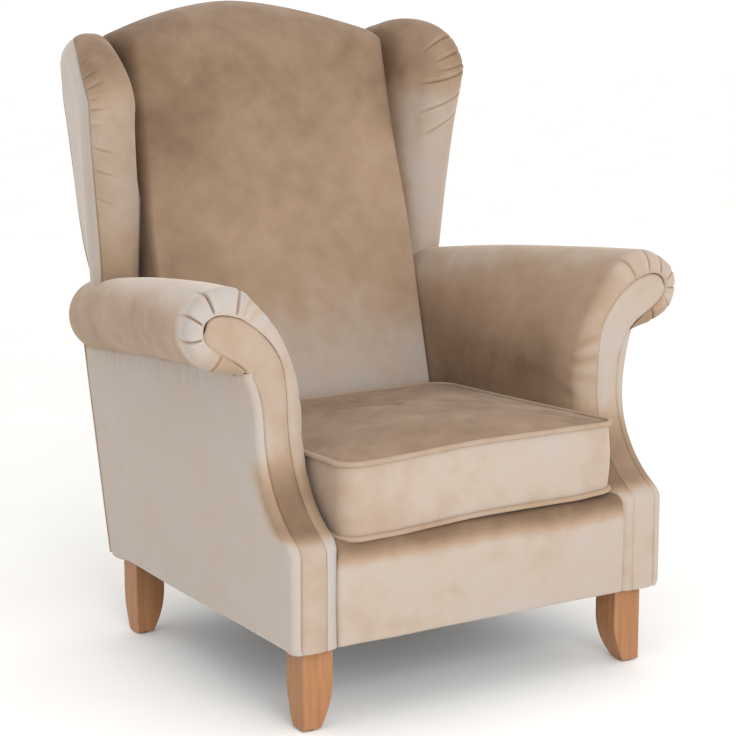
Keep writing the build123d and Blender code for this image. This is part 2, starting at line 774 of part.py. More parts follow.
# Inside back, crowned across and rounded over the humped crest
with BuildPart() as back_frame_room:
    with BuildSketch(Plane.XZ.offset(-overall_depth)):
        with BuildLine():
            side = post_outer + 20.0
            top_side = crest_rail_end + 2.0
            Line((-side, 0), (side, 0))
            Line((side, 0), (side, top_side))
            Line((side, top_side), (post_inner, top_side))
            ThreePointArc((post_inner, top_side), (0, crest_z(0) - crest_cover + 2.0), (-post_inner, top_side))
            Line((-post_inner, top_side), (-side, top_side))
            Line((-side, top_side), (-side, 0))
        make_face()
    extrude(amount=2 * overall_depth)
    with BuildSketch(back_plane.offset(-50.0)):
        Rectangle(4 * overall_depth, 4 * overall_height)
    extrude(amount=50.0 + frame_depth, mode=Mode.INTERSECT)

back_half_sections = [0.375 * crest_half, 0.708 * crest_half, crest_half, seat_half + 17.0]
back_sections = [-x for x in reversed(back_half_sections)] + [0.0] + back_half_sections
with BuildPart() as inside_back_pad:
    for x in back_sections:
        with BuildSketch(Plane.YZ.offset(x)):
            with BuildLine():
                top = crest_z(x)
                low = deck_height + fit_gap
                depth = face_depth(x)
                share = min(1.0, (x / crest_half) ** 2)
                crest_front_drop = mix(crest_front_middle, crest_front_side, share)
                apex = (back_y(top, mix(crest_depth_middle, crest_depth_side, share)), top)
                front_start = (back_y(top - crest_front_drop, depth), top - crest_front_drop)
                rear_start = (back_y(top - crest_rear_drop, rear_limit), top - crest_rear_drop)
                front_r = hypot(apex[0] - front_start[0], crest_front_drop) ** 2 / (2 * crest_front_drop)
                rear_r = hypot(rear_start[0] - apex[0], crest_rear_drop) ** 2 / (2 * crest_rear_drop)
                front_half = atan2(apex[0] - front_start[0], front_r - crest_front_drop) / 2
                rear_half = atan2(rear_start[0] - apex[0], rear_r - crest_rear_drop) / 2
                Line((back_y(low, depth), low), front_start)
                ThreePointArc(
                    front_start,
                    (apex[0] - front_r * sin(front_half), top - front_r + front_r * cos(front_half)),
                    apex,
                )
                ThreePointArc(
                    apex,
                    (apex[0] + rear_r * sin(rear_half), top - rear_r + rear_r * cos(rear_half)),
                    rear_start,
                )
                Line(rear_start, (back_y(low, rear_limit), low))
                Line((back_y(low, rear_limit), low), (back_y(low, depth), low))
            make_face()
    loft()
    with BuildSketch(Plane.XZ.offset(-overall_depth)):
        with BuildLine():
            Polyline(
                (back_half(0), deck_height),
                (back_half(0), back_taper_z),
                (back_half(overall_height), back_taper_z + back_taper_rise),
                (back_half(overall_height), overall_height + 20.0),
                (-back_half(overall_height), overall_height + 20.0),
                (-back_half(overall_height), back_taper_z + back_taper_rise),
                (-back_half(0), back_taper_z),
                (-back_half(0), deck_height),
                close=True,
            )
        make_face()
    extrude(amount=2 * overall_depth, mode=Mode.INTERSECT)
    add(back_frame_room.part, mode=Mode.SUBTRACT)
inside_back_pad.part.label = "inside_back_pad"
export_step(inside_back_pad.part, "parts/inside_back_pad.step")

# Outside back, closing the frame and the ends of the rolls
end_share = (back_y(roll_rear_z) - facing_y) / (roll_rear_y - facing_y)
end_x = mix(roll_front_x, roll_rear_x, end_share)
end_z = mix(roll_front_z, roll_rear_z, end_share)
end_r = mix(roll_front_r, roll_rear_r, end_share)
with BuildPart() as outside_back_panel:
    with BuildSketch(Plane.XZ.offset(-overall_depth)):
        with Locations((0, leg_height)):
            Rectangle(2 * arm_rear_x, end_z - leg_height, align=(Align.CENTER, Align.MIN))
        with Locations((end_x, end_z), (-end_x, end_z)):
            Circle(end_r)
        with BuildLine():
            wing_low_x = (wing_reach + wing_lean * end_z - sin(flare) * back_y(end_z)) / cos(flare)
            wing_high_x = (wing_reach + wing_lean * wing_post_top - sin(flare) * back_y(wing_post_top)) / cos(flare)
            crest_points = (0.896 * crest_half, 0.625 * crest_half, crest_half / 3, 0.0)
            rear_crest = [(x, crest_z(x) - outer_crest_drop) for x in crest_points]
            back_corner = (back_half(wing_post_top) + 1.0, wing_post_top)
            half_line = [(wing_low_x, end_z), (wing_high_x, wing_post_top), back_corner] + rear_crest
            Polyline(*half_line, *[(-x, z) for x, z in reversed(half_line[:-1])], close=True)
        make_face()
    extrude(amount=2 * overall_depth)
    with BuildSketch(back_plane):
        Rectangle(4 * overall_depth, 4 * overall_height)
    extrude(amount=panel_thickness, mode=Mode.INTERSECT)
outside_back_panel.part.label = "outside_back_panel"
export_step(outside_back_panel.part, "parts/outside_back_panel.step")

# Front border below the cushion
with BuildPart() as front_apron:
    with BuildSketch(Plane.YZ.offset(-(seat_half - fit_gap))):
        with BuildLine():
            apron_top = deck_height - apron_drop
            Line((front_y + apron_thickness, leg_height), (front_y, leg_height))
            Line((front_y, leg_height), (front_y, apron_top - 18.0))
            ThreePointArc((front_y, apron_top - 18.0), (front_y + 5.3, apron_top - 5.3), (front_y + 18.0, apron_top))
            Line((front_y + 18.0, apron_top), (front_y + apron_thickness, apron_top))
            Line((front_y + apron_thickness, apron_top), (front_y + apron_thickness, leg_height))
        make_face()
    extrude(amount=2 * (seat_half - fit_gap))
front_apron.part.label = "front_apron"
export_step(front_apron.part, "parts/front_apron.step")

# Seat springs, their clips, the insulator and the deck pad
spring_z = rail_top + wire_r + 0.1
spring_front = front_y + apron_thickness + fit_gap + rail_thickness / 2
spring_rear = rear_rail_front + rail_thickness / 2
half_turns = 2 * round((spring_rear - spring_front) / spring_half_pitch / 2) - 1
spring_step = (spring_rear - spring_front) / half_turns
with BuildPart() as seat_springs:
    for number in range(spring_count):
        spring_x = (number - (spring_count - 1) / 2) * spring_pitch_x
        corners = []
        for turn in range(half_turns + 1):
            side = 1 if turn % 2 else -1
            corners.append((spring_x + side * spring_wave / 2, spring_front + turn * spring_step, spring_z))
            corners.append((spring_x - side * spring_wave / 2, spring_front + turn * spring_step, spring_z))
        with BuildLine() as wave:
            FilletPolyline(*corners, radius=spring_turn_r)
        with BuildSketch(Plane(origin=wave.line @ 0, z_dir=wave.line % 0)):
            Circle(wire_r)
        sweep(path=wave.line)
seat_springs.part.label = "seat_springs"
export_step(seat_springs.part, "parts/seat_springs.step")

clip_height = 2 * wire_r + 2.6
with BuildPart() as spring_clips:
    with BuildSketch(Plane.XY.offset(rail_top)):
        with Locations((0, spring_front), (0, spring_rear)):
            with GridLocations(spring_pitch_x, 1.0, spring_count, 1):
                Rectangle(18.0, 12.0)
    extrude(amount=clip_height)
    with BuildSketch(Plane.XY.offset(rail_top)):
        with Locations((0, spring_front), (0, spring_rear)):
            with GridLocations(spring_pitch_x, 1.0, spring_count, 1):
                Rectangle(20.0, 2 * wire_r + 0.4)
    extrude(amount=2 * wire_r + 0.4, mode=Mode.SUBTRACT)
spring_clips.part.label = "spring_clips"
export_step(spring_clips.part, "parts/spring_clips.step")

deck_front = front_y + apron_thickness + fit_gap
deck_rear = back_y(rail_top, post_set + post_depth) - 20.0
insulator_z = rail_top + clip_height + 0.2
with BuildPart() as spring_insulator:
    with BuildSketch(Plane.XY.offset(insulator_z)):
        with Locations((0, deck_front)):
            Rectangle(2 * (seat_half - 4.0), deck_rear - deck_front, align=(Align.CENTER, Align.MIN))
    extrude(amount=insulator_thickness)
spring_insulator.part.label = "spring_insulator"
export_step(spring_insulator.part, "parts/spring_insulator.step")

deck_low = insulator_z + insulator_thickness + 0.2
with BuildPart() as seat_deck:
    with BuildSketch(Plane.XY.offset(deck_low)):
        with Locations((0, deck_front)):
            Rectangle(2 * (seat_half - fit_gap), deck_rear - deck_front, align=(Align.CENTER, Align.MIN))
    extrude(amount=deck_height - deck_low)
seat_deck.part.label = "seat_deck"
export_step(seat_deck.part, "parts/seat_deck.step")

# Legs, straight in front and outside, curved inside and behind
leg_top = frame_bottom


def leg_front_view(outer_x):
    inner_top = outer_x - leg_head_x
    inner_foot = outer_x - leg_foot
    bow_top = mix(leg_top, glide_height, leg_straight)
    rise = bow_top - glide_height
    bow_r = ((leg_head_x - leg_foot) ** 2 + rise**2) / (2 * (leg_head_x - leg_foot))
    half = atan2(rise, bow_r - (leg_head_x - leg_foot)) / 2
    middle = (inner_top + bow_r - bow_r * cos(half), bow_top - bow_r * sin(half))
    Line((outer_x, glide_height), (outer_x, leg_top))
    Line((outer_x, leg_top), (inner_top, leg_top))
    Line((inner_top, leg_top), (inner_top, bow_top))
    ThreePointArc((inner_top, bow_top), middle, (inner_foot, glide_height))
    Line((inner_foot, glide_height), (outer_x, glide_height))


def leg_side_view(front):
    rear_top = front + leg_head_y
    rear_foot = front + leg_foot
    bow_top = mix(leg_top, glide_height, leg_straight)
    rise = bow_top - glide_height
    bow_r = ((leg_head_y - leg_foot) ** 2 + rise**2) / (2 * (leg_head_y - leg_foot))
    half = atan2(rise, bow_r - (leg_head_y - leg_foot)) / 2
    middle = (rear_top - bow_r + bow_r * cos(half), bow_top - bow_r * sin(half))
    Line((front, glide_height), (front, leg_top))
    Line((front, leg_top), (rear_top, leg_top))
    Line((rear_top, leg_top), (rear_top, bow_top))
    ThreePointArc((rear_top, bow_top), middle, (rear_foot, glide_height))
    Line((rear_foot, glide_height), (front, glide_height))


front_leg_x = arm_front_x - front_leg_inset_x
front_leg_y = front_y + front_leg_inset_y
rear_leg_x = arm_outer(rear_leg_front_y + leg_head_y) - panel_thickness - rear_leg_inset_x

with BuildPart() as leg_front_right:
    with BuildSketch(Plane.XZ):
        with BuildLine():
            leg_front_view(front_leg_x)
        make_face()
    extrude(amount=overall_depth, both=True)
    with BuildSketch(Plane.YZ):
        with BuildLine():
            leg_side_view(front_leg_y)
        make_face()
    extrude(amount=overall_depth, mode=Mode.INTERSECT)
    long_edges = leg_front_right.edges().filter_by(lambda edge: edge.bounding_box().size.Z > leg_top / 4)
    fillet(long_edges, leg_ease)
    with BuildSketch(Plane.XY.offset(leg_top)):
        with Locations(front_bolt):
            Circle(insert_r + bolt_gap)
    extrude(amount=-insert_length - 0.2, mode=Mode.SUBTRACT)
    with BuildSketch(Plane.XY.offset(leg_top)):
        with Locations(front_bolt):
            Circle(bolt_r + bolt_gap)
    extrude(amount=-bolt_down - 4.0, mode=Mode.SUBTRACT)
leg_front_right.part.label = "leg_front_right"
export_step(leg_front_right.part, "parts/leg_front_right.step")

with BuildPart() as leg_front_left:
    mirror(leg_front_right.part, about=Plane.YZ)
leg_front_left.part.label = "leg_front_left"
export_step(leg_front_left.part, "parts/leg_front_left.step")

with BuildPart() as leg_rear_right:
    with BuildSketch(Plane.XZ):
        with BuildLine():
            leg_front_view(rear_leg_x)
        make_face()
    extrude(amount=overall_depth, both=True)
    with BuildSketch(Plane.YZ):
        with BuildLine():
            leg_side_view(rear_leg_front_y)
        make_face()
    extrude(amount=overall_depth, mode=Mode.INTERSECT)
    long_edges = leg_rear_right.edges().filter_by(lambda edge: edge.bounding_box().size.Z > leg_top / 4)
    fillet(long_edges, leg_ease)
    with BuildSketch(Plane.XY.offset(leg_top)):
        with Locations(rear_bolt):
            Circle(insert_r + bolt_gap)
    extrude(amount=-insert_length - 0.2, mode=Mode.SUBTRACT)
    with BuildSketch(Plane.XY.offset(leg_top)):
        with Locations(rear_bolt):
            Circle(bolt_r + bolt_gap)
    extrude(amount=-bolt_down - 4.0, mode=Mode.SUBTRACT)
leg_rear_right.part.label = "leg_rear_right"
export_step(leg_rear_right.part, "parts/leg_rear_right.step")

with BuildPart() as leg_rear_left:
    mirror(leg_rear_right.part, about=Plane.YZ)
leg_rear_left.part.label = "leg_rear_left"
export_step(leg_rear_left.part, "parts/leg_rear_left.step")

bolt_points = [front_bolt, rear_bolt, (-front_bolt[0], front_bolt[1]), (-rear_bolt[0], rear_bolt[1])]
with BuildPart() as leg_bolts:
    with BuildSketch(Plane.XY.offset(leg_top - bolt_down)):
        with Locations(*bolt_points):
            Circle(bolt_r)
    extrude(amount=bolt_down + bolt_up)
leg_bolts.part.label = "leg_bolts"
export_step(leg_bolts.part, "parts/leg_bolts.step")

with BuildPart() as leg_inserts:
    with BuildSketch(Plane.XY.offset(leg_top - insert_length)):
        with Locations(*bolt_points):
            Circle(insert_r)
            Circle(bolt_r + bolt_gap, mode=Mode.SUBTRACT)
    extrude(amount=insert_length)
leg_inserts.part.label = "leg_inserts"
export_step(leg_inserts.part, "parts/leg_inserts.step")

foot_points = [
    (front_leg_x - leg_foot / 2, front_leg_y + leg_foot / 2),
    (rear_leg_x - leg_foot / 2, rear_leg_front_y + leg_foot / 2),
    (-front_leg_x + leg_foot / 2, front_leg_y + leg_foot / 2),
    (-rear_leg_x + leg_foot / 2, rear_leg_front_y + leg_foot / 2),
]
with BuildPart() as leg_glides:
    with BuildSketch(Plane.XY):
        with Locations(*foot_points):
            Circle(glide_r)
    extrude(amount=glide_height)
leg_glides.part.label = "leg_glides"
export_step(leg_glides.part, "parts/leg_glides.step")

# Dust cover under the seat, notched round the legs
cover_front = front_y + apron_thickness + fit_gap
cover_rear = back_y(leg_height, rear_limit)
with BuildPart() as dust_cover:
    with BuildSketch(Plane.XY.offset(leg_height)):
        with BuildLine():
            cover_front_x = arm_outer(cover_front) - panel_thickness - 2 * fit_gap
            cover_rear_x = arm_outer(cover_rear) - panel_thickness - 2 * fit_gap
            Polyline(
                (-cover_front_x, cover_front),
                (cover_front_x, cover_front),
                (cover_rear_x, cover_rear),
                (-cover_rear_x, cover_rear),
                close=True,
            )
        make_face()
        with Locations((front_leg_x - leg_head_x / 2, front_leg_y + leg_head_y / 2)):
            Rectangle(leg_head_x + 1.0, leg_head_y + 1.0, mode=Mode.SUBTRACT)
        with Locations((-front_leg_x + leg_head_x / 2, front_leg_y + leg_head_y / 2)):
            Rectangle(leg_head_x + 1.0, leg_head_y + 1.0, mode=Mode.SUBTRACT)
        with Locations((rear_leg_x - leg_head_x / 2, rear_leg_front_y + leg_head_y / 2)):
            Rectangle(leg_head_x + 1.0, leg_head_y + 1.0, mode=Mode.SUBTRACT)
        with Locations((-rear_leg_x + leg_head_x / 2, rear_leg_front_y + leg_head_y / 2)):
            Rectangle(leg_head_x + 1.0, leg_head_y + 1.0, mode=Mode.SUBTRACT)
    extrude(amount=frame_lift - fit_gap)
dust_cover.part.label = "dust_cover"
export_step(dust_cover.part, "parts/dust_cover.step")

# Loose seat cushion: crowned top, bulging boxing and sides drawn in between the corners
cushion_half = seat_half - cushion_side_gap - 2 * cord_r - cord_gap
cushion_front = front_y + 1.0 + 2 * cord_r + cord_gap
cushion_rear = back_y(deck_height, back_thickness) - 1.5 - 2 * cord_r - cord_gap
cushion_low = deck_height + 0.6
seam_low = cushion_low + cord_r + 3.0
seam_high = seam_low + cushion_boxing


def cushion_right_half(inset, pull):
    # Right half of a rounded rectangle whose sides are shallow arcs drawn in by pull
    half = cushion_half - inset
    near = cushion_front + inset
    far = cushion_rear - inset
    rf = max(cushion_corner_front - inset * 0.35, 12.0)
    rr = max(cushion_corner_rear - inset * 0.35, 12.0)
    middle_y = (near + far) / 2
    bend = pi / 2 + 4 * atan2(4 * pull, 2 * half - 2 * rf + far - near - rf - rr)

    def corner(x, y, r, side_y):
        # Middle of a corner arc that runs on smoothly from both drawn-in sides
        out = r / 2 * tan(bend / 4) - r / 2
        return (x + out, y + side_y * out)

    def part_way(reach):
        # Halfway along the half arc: its x, and its share of the pull
        bow_r = (reach**2 + pull**2) / (2 * pull)
        angle = atan2(reach, bow_r - pull) / 2
        return bow_r * sin(angle), pull - bow_r + bow_r * cos(angle)

    front_x, front_in = part_way(half - rf)
    rear_x, rear_in = part_way(half - rr)
    ThreePointArc((0, near + pull), (front_x, near + front_in), (half - rf, near))
    ThreePointArc((half - rf, near), corner(half, near, rf, -1), (half, near + rf))
    ThreePointArc((half, near + rf), (half - pull, middle_y), (half, far - rr))
    ThreePointArc((half, far - rr), corner(half, far, rr, 1), (half - rr, far))
    ThreePointArc((half - rr, far), (rear_x, far - rear_in), (0, far - pull))


def cushion_outline(inset, pull):
    cushion_right_half(inset, pull)
    mirror(about=Plane.YZ)


boxing_middle = (seam_low + seam_high) / 2
with BuildPart() as seat_cushion:
    for level_z, inset in ((cushion_low, 12.0), (seam_low, 0.0)):
        with BuildSketch(Plane.XY.offset(level_z)):
            with BuildLine():
                cushion_outline(inset, cushion_pull)
            make_face()
    loft(ruled=True)
    for level_z, inset in ((seam_low, 0.0), (boxing_middle, -cushion_bulge), (seam_high, 0.0)):
        with BuildSketch(Plane.XY.offset(level_z)):
            with BuildLine():
                cushion_outline(inset, cushion_pull)
            make_face()
    loft()
    crown_levels = ((0.0, 0.0), (0.42, 32.0), (0.72, 75.0), (0.92, 130.0), (1.0, 190.0))
    for share, inset in crown_levels:
        with BuildSketch(Plane.XY.offset(seam_high + share * cushion_crown)):
            with BuildLine():
                cushion_outline(inset, cushion_pull)
            make_face()
    loft(ruled=True)
seat_cushion.part.label = "seat_cushion"
export_step(seat_cushion.part, "parts/seat_cushion.step")

with BuildPart() as cushion_welt_top:
    with BuildLine(Plane.XY.offset(seam_high)) as welt_path:
        cushion_right_half(-(cord_r + cord_gap), cushion_pull)
    with BuildSketch(Plane(origin=welt_path.line @ 0, z_dir=(1, 0, 0))):
        Circle(cord_r)
    sweep(path=welt_path.line)
    mirror(about=Plane.YZ)
cushion_welt_top.part.label = "cushion_welt_top"
export_step(cushion_welt_top.part, "parts/cushion_welt_top.step")

with BuildPart() as cushion_welt_bottom:
    with BuildLine(Plane.XY.offset(seam_low)) as welt_path:
        cushion_right_half(-(cord_r + cord_gap), cushion_pull)
    with BuildSketch(Plane(origin=welt_path.line @ 0, z_dir=(1, 0, 0))):
        Circle(cord_r)
    sweep(path=welt_path.line)
    mirror(about=Plane.YZ)
cushion_welt_bottom.part.label = "cushion_welt_bottom"
export_step(cushion_welt_bottom.part, "parts/cushion_welt_bottom.step")
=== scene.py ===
import bpy
import json
import math
import numpy as np
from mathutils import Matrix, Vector


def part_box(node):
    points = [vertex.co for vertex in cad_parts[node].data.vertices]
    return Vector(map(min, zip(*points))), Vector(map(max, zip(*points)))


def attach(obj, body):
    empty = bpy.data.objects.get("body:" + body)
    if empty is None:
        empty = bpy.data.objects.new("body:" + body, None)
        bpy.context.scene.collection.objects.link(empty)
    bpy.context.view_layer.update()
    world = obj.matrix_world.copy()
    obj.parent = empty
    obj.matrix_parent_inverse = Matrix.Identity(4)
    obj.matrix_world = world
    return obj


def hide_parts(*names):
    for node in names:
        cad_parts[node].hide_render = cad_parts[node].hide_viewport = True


# Wing chair with rolled arms, a humped back and a loose seat cushion.
# Metres. Origin on the floor under the middle, +Z up, the chair faces -Y.

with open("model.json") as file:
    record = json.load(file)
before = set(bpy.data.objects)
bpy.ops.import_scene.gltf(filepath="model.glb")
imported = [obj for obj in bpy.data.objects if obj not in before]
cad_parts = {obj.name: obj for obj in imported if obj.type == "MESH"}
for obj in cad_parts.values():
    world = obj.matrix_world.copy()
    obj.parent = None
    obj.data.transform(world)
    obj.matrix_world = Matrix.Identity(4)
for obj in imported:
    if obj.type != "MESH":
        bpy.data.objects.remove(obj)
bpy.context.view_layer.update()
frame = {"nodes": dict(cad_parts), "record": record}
bpy.context.scene.view_settings.view_transform = "Standard"

# The left side is at -X
SIDE_NAME = {-1: "left", 1: "right"}
QUARTER = math.pi / 2

# Main sizes of the chair
FRONT_Y = -0.458
FACING_Y = -0.348
SHOULDER_Z = 0.296
WAIST_Z = 0.470
WAIST_REAR_Z = 0.480
BASE_Z = 0.132
DECK_Z = 0.300
SEAT_HALF = 0.268
APRON_HALF = 0.277
OUTER_FRONT = 0.360
SIDE_TURN = 0.0222
RAKE = math.radians(14.4)
BACK_FOOT_Y = 0.224
BACK_DEPTH = 0.193
BACK_CROWN = 0.008
BACK_HALF = 0.2676
CREST_Z = 1.100
CREST_DROP = 0.0482
CREST_POWER = 1.69
CREST_HALF = 0.240
OUTER_CREST_DROP = 0.061
WING_FLARE = math.radians(16.0)
WING_REACH = 0.3758
WING_LEAN = 0.0495
REAR_LIMIT = 0.0066

# Arm roll at the facing and at the back: centre x, centre z and radius
ROLL_FRONT = (0.406, 0.622, 0.066)
ROLL_REAR = (0.3097, 0.5445, 0.0637)
ROLL_REAR_Y = 0.325
ROLL_ARCH = 0.010
TAIL_FRONT = 10.0
TAIL_REAR = 30.0
# The right roll was stuffed a little higher towards the back, and fuller at its front border
ROLL_LIFT = {-1: 0.0, 1: 0.008}
ROLL_FULL = {-1: 0.001, 1: 0.007}
HOLLOW_FULL = {-1: 0.0, 1: 0.0065}

# Upholstery sizes
BORDER = 0.027
ROLL_END = 0.030
EDGE_R = 0.012
PANEL_FLARE = 0.020
SEAM_DIP = 0.0032
SEAM_LAP = 0.0015
WELT_R = 0.0042
PANEL_THICK = 0.005
BASE_LAP = 0.0008
SWEEP_R = ((FACING_Y - FRONT_Y) ** 2 + (WAIST_Z - SHOULDER_Z) ** 2) / (2 * (FACING_Y - FRONT_Y))
SWEEP_SOFT = 0.009
# Rounding of the back's side edges, low down and at the crest
EDGE_ACROSS = (0.007, 0.020)
EDGE_DEEP = (0.014, 0.038)


def mix(first, last, share):
    return first + (last - first) * share


def ease(share):
    share = np.clip(share, 0.0, 1.0)
    return share * share * (3.0 - 2.0 * share)


def hump(at, width):
    return np.exp(-((at / width) ** 2))


def spline(at, knots, values):
    """Smooth curve through a few chosen values."""
    knots = np.array(knots, float)
    values = np.array(values, float)
    slopes = np.gradient(values, knots)
    at = np.clip(at, knots[0], knots[-1])
    i = np.clip(np.searchsorted(knots, at) - 1, 0, len(knots) - 2)
    gap = knots[i + 1] - knots[i]
    t = (at - knots[i]) / gap
    low = (1 + 2 * t) * (1 - t) ** 2 * values[i] + t * (1 - t) ** 2 * gap * slopes[i]
    high = t * t * (3 - 2 * t) * values[i + 1] + t * t * (t - 1) * gap * slopes[i + 1]
    return low + high


def wander(points, scale, seed):
    """Slow, even unevenness of hand-laid stuffing, from a few crossed waves."""
    waves = 7
    rng = np.random.default_rng(seed)
    total = np.zeros(points.shape[:-1])
    for _ in range(waves):
        way = rng.normal(size=3)
        way = way / np.linalg.norm(way) * (2 * math.pi / scale) * rng.uniform(0.6, 1.5)
        total += np.sin(points @ way + rng.uniform(0, 6.28))
    return total / waves


def back_plane_y(z, depth=0.0):
    return BACK_FOOT_Y + (z - BASE_Z) * math.tan(RAKE) - depth / math.cos(RAKE)


def crest_z(x):
    return CREST_Z - CREST_DROP * (np.abs(x) / CREST_HALF) ** CREST_POWER


def back_edge(z):
    """Rounding of the back's side edges, across and backwards, which grows towards the crest."""
    grow = ease((z - 0.66) / 0.26)
    return mix(*EDGE_ACROSS, grow), mix(*EDGE_DEEP, grow)


def face_depth(x):
    return BACK_DEPTH - BACK_CROWN * (x / CREST_HALF) ** 2


def arm_front_y(z):
    """Side view of the arm front: upright, swept back over the shoulder, upright again."""
    shifts = np.linspace(-SWEEP_SOFT, SWEEP_SOFT, 7)
    total = 0.0
    for shift in shifts:
        height = np.clip(z + shift, SHOULDER_Z, WAIST_Z)
        total = total + FACING_Y - SWEEP_R + np.sqrt(SWEEP_R**2 - (WAIST_Z - height) ** 2)
    return total / len(shifts)


def shoulder_slope(z):
    """Share of the swept shoulder, which is painted darker."""
    return ease((z - SHOULDER_Z) / 0.02) * ease((0.455 - z) / 0.10)


def outer_x(y):
    """Outer side of the arm, which runs in towards the back."""
    return OUTER_FRONT - (y - FRONT_Y) * SIDE_TURN


def arm_shape(y, inset, side):
    """Sizes of the arm's front view at y: the roll, the hollow curve below it and the tail under it."""
    share = (y - FACING_Y) / (ROLL_REAR_Y - FACING_Y)
    cx = mix(ROLL_FRONT[0], ROLL_REAR[0], share)
    cz = mix(ROLL_FRONT[1], ROLL_REAR[1], share) + ROLL_ARCH * np.clip(4 * share * (1 - share), 0, 1)
    cz = cz + ROLL_LIFT[side] * ease(share / 0.9)
    r = mix(ROLL_FRONT[2], ROLL_REAR[2], share) - inset
    start = mix(WAIST_Z, WAIST_REAR_Z, share)
    tail = np.radians(mix(TAIL_FRONT, TAIL_REAR, np.clip(share, 0, 1)))
    inner = np.minimum(SEAT_HALF + inset, cx - r - 0.004)
    run = cx - inner
    big = (run**2 + (cz - start) ** 2 - r**2) / (2 * (run - r))
    first = np.arctan2(cz - start, cx - inner - big)
    last = tail - QUARTER
    tip_x = cx + r * np.cos(last)
    tip_z = cz + r * np.sin(last)
    flare = PANEL_FLARE * np.clip(1 - share, 0, 1) ** 2
    beak_x = np.minimum(outer_x(y) + flare + 0.001, tip_x - 0.001)
    beak_z = tip_z - (tip_x - beak_x) * np.tan(tail)
    return cx, cz, r, start, inner, big, first, last, tip_x, tip_z, beak_x, beak_z


def loft(name, around, along, surface, side=1, soften=0, thick=0.0):
    """A grid moved onto a surface: columns go round the section and rows along the piece.

    A piece without a thickness is a ring, closed at both ends. One with a thickness is a panel.
    """
    bpy.ops.object.select_all(action="DESELECT")
    middle = (0.5, 0.5, 0)
    bpy.ops.mesh.primitive_grid_add(x_subdivisions=around, y_subdivisions=along, size=1, location=middle)
    piece = bpy.context.object
    piece.name = name
    piece.data.name = name
    bpy.ops.object.transform_apply(location=True)
    flat = np.empty(len(piece.data.vertices) * 3)
    piece.data.vertices.foreach_get("co", flat)
    flat = flat.reshape(-1, 3)
    column = np.rint(flat[:, 0] * around).astype(int)
    row = np.rint(flat[:, 1] * along).astype(int)
    u, v = np.meshgrid(np.linspace(0, 1, around + 1), np.linspace(0, 1, along + 1))
    points, relief, pile_and_shade = surface(u, v)
    for _ in range(soften):
        wrapped = np.concatenate((points[:, -2:-1], points, points[:, 1:2]), axis=1)
        points = (wrapped[:, :-2] + 2 * wrapped[:, 1:-1] + wrapped[:, 2:]) / 4
        points[1:-1] = (points[:-2] + 2 * points[1:-1] + points[2:]) / 4
    normal = np.cross(np.gradient(points, axis=1), np.gradient(points, axis=0))
    normal /= np.maximum(np.linalg.norm(normal, axis=-1, keepdims=True), 1e-12)
    if not thick:
        normal *= np.sign(((points - points.mean(axis=1, keepdims=True)) * normal).sum(axis=-1).mean())
    points = points + normal * np.asarray(relief)[..., None]
    points[..., 0] *= side
    piece.data.vertices.foreach_set("co", points[row, column].ravel())
    # this attribute holds the pile's brushing together with painted light and shade, and sets the velvet's
    # colour
    layer = piece.data.attributes.new("pile_and_shade", "FLOAT", "POINT")
    layer.data.foreach_set("value", (np.zeros_like(u) + pile_and_shade)[row, column].ravel())
    bpy.ops.object.mode_set(mode="EDIT")
    bpy.ops.mesh.select_all(action="SELECT")
    bpy.ops.mesh.remove_doubles(threshold=0.00004)
    if not thick:
        bpy.ops.mesh.select_all(action="DESELECT")
        bpy.ops.mesh.select_non_manifold(extend=False)
        bpy.ops.mesh.edge_face_add()
        bpy.ops.mesh.select_all(action="SELECT")
        bpy.ops.mesh.normals_make_consistent(inside=False)
    elif side < 0:
        bpy.ops.mesh.flip_normals()
    bpy.ops.object.mode_set(mode="OBJECT")
    if thick:
        solid = piece.modifiers.new("Thickness", "SOLIDIFY")
        solid.thickness = thick
        solid.offset = -1.0
        bpy.ops.object.modifier_apply(modifier=solid.name)
    bpy.ops.object.shade_smooth_by_angle(angle=math.radians(55))
    return piece


def stack(*columns):
    return np.stack(np.broadcast_arrays(*columns), axis=-1).astype(float)


def pick(at, *steps):
    """Value by stretch: each step is a stretch's end and a function of the share along it."""
    total = np.zeros_like(at)
    begin = 0.0
    for end, value in steps:
        inside = (at >= begin) & (at <= end)
        total = np.where(inside, value((at - begin) / (end - begin)), total)
        begin = end
    return total


# Stretches round the arm pad: inner face, hollow, roll, tail, lip, way back and inner wall
PAD_FACE = 0.20
PAD_HOLLOW = 0.34
PAD_ROLL = 0.76
PAD_TAIL = 0.83
PAD_LIP = 0.87
PAD_BACK = 0.93
PAD_WALL = 0.98
# Stretches along the arm pad: rounded rear end, body, rounded front border and dip into the seam
PAD_REAR = 0.08
PAD_BODY = 0.58
PAD_BORDER = 0.94
PAD_DIP = 0.98
# Seam between arm pad and facing in front view, by the place round the pad, in mm
SEAM_AT = (
    0.00, 0.10, 0.20, 0.235, 0.27, 0.305, 0.34, 0.38, 0.419,
    0.465, 0.509, 0.555, 0.600, 0.645, 0.690, 0.76, 0.83,
)
SEAM_X = (297, 297, 300.5, 303, 311, 334, 372, 391, 407, 424, 438, 444, 445, 443, 436, 405, 374)
SEAM_Z = (132, 300, 470, 522, 566, 603, 634, 642.5, 646.5, 646.5, 640, 631, 621, 611, 602, 582, 558)
# Seam between facing and outer panel in front view
STRIP_Z = (0.132, 0.435, 0.480, 0.517, 0.551, 0.570)
STRIP_X = (0.343, 0.343, 0.344, 0.350, 0.366, 0.384)

# Pile brushing and painted light and shade that differ from side to side
ARM_PILE_AND_SHADE = {-1: 0.45, 1: -0.10}
FACING_PILE_AND_SHADE = {-1: 0.36, 1: 0.80}
ROLL_SIDE_PILE_AND_SHADE = {-1: 1.05, 1: 0.55}
WING_PILE_AND_SHADE = {-1: 0.35, 1: 0.70}
WING_TOP_PILE_AND_SHADE = {-1: 0.90, 1: 1.25}
WING_LOW_PILE_AND_SHADE = {-1: 0.4, 1: 0.0}


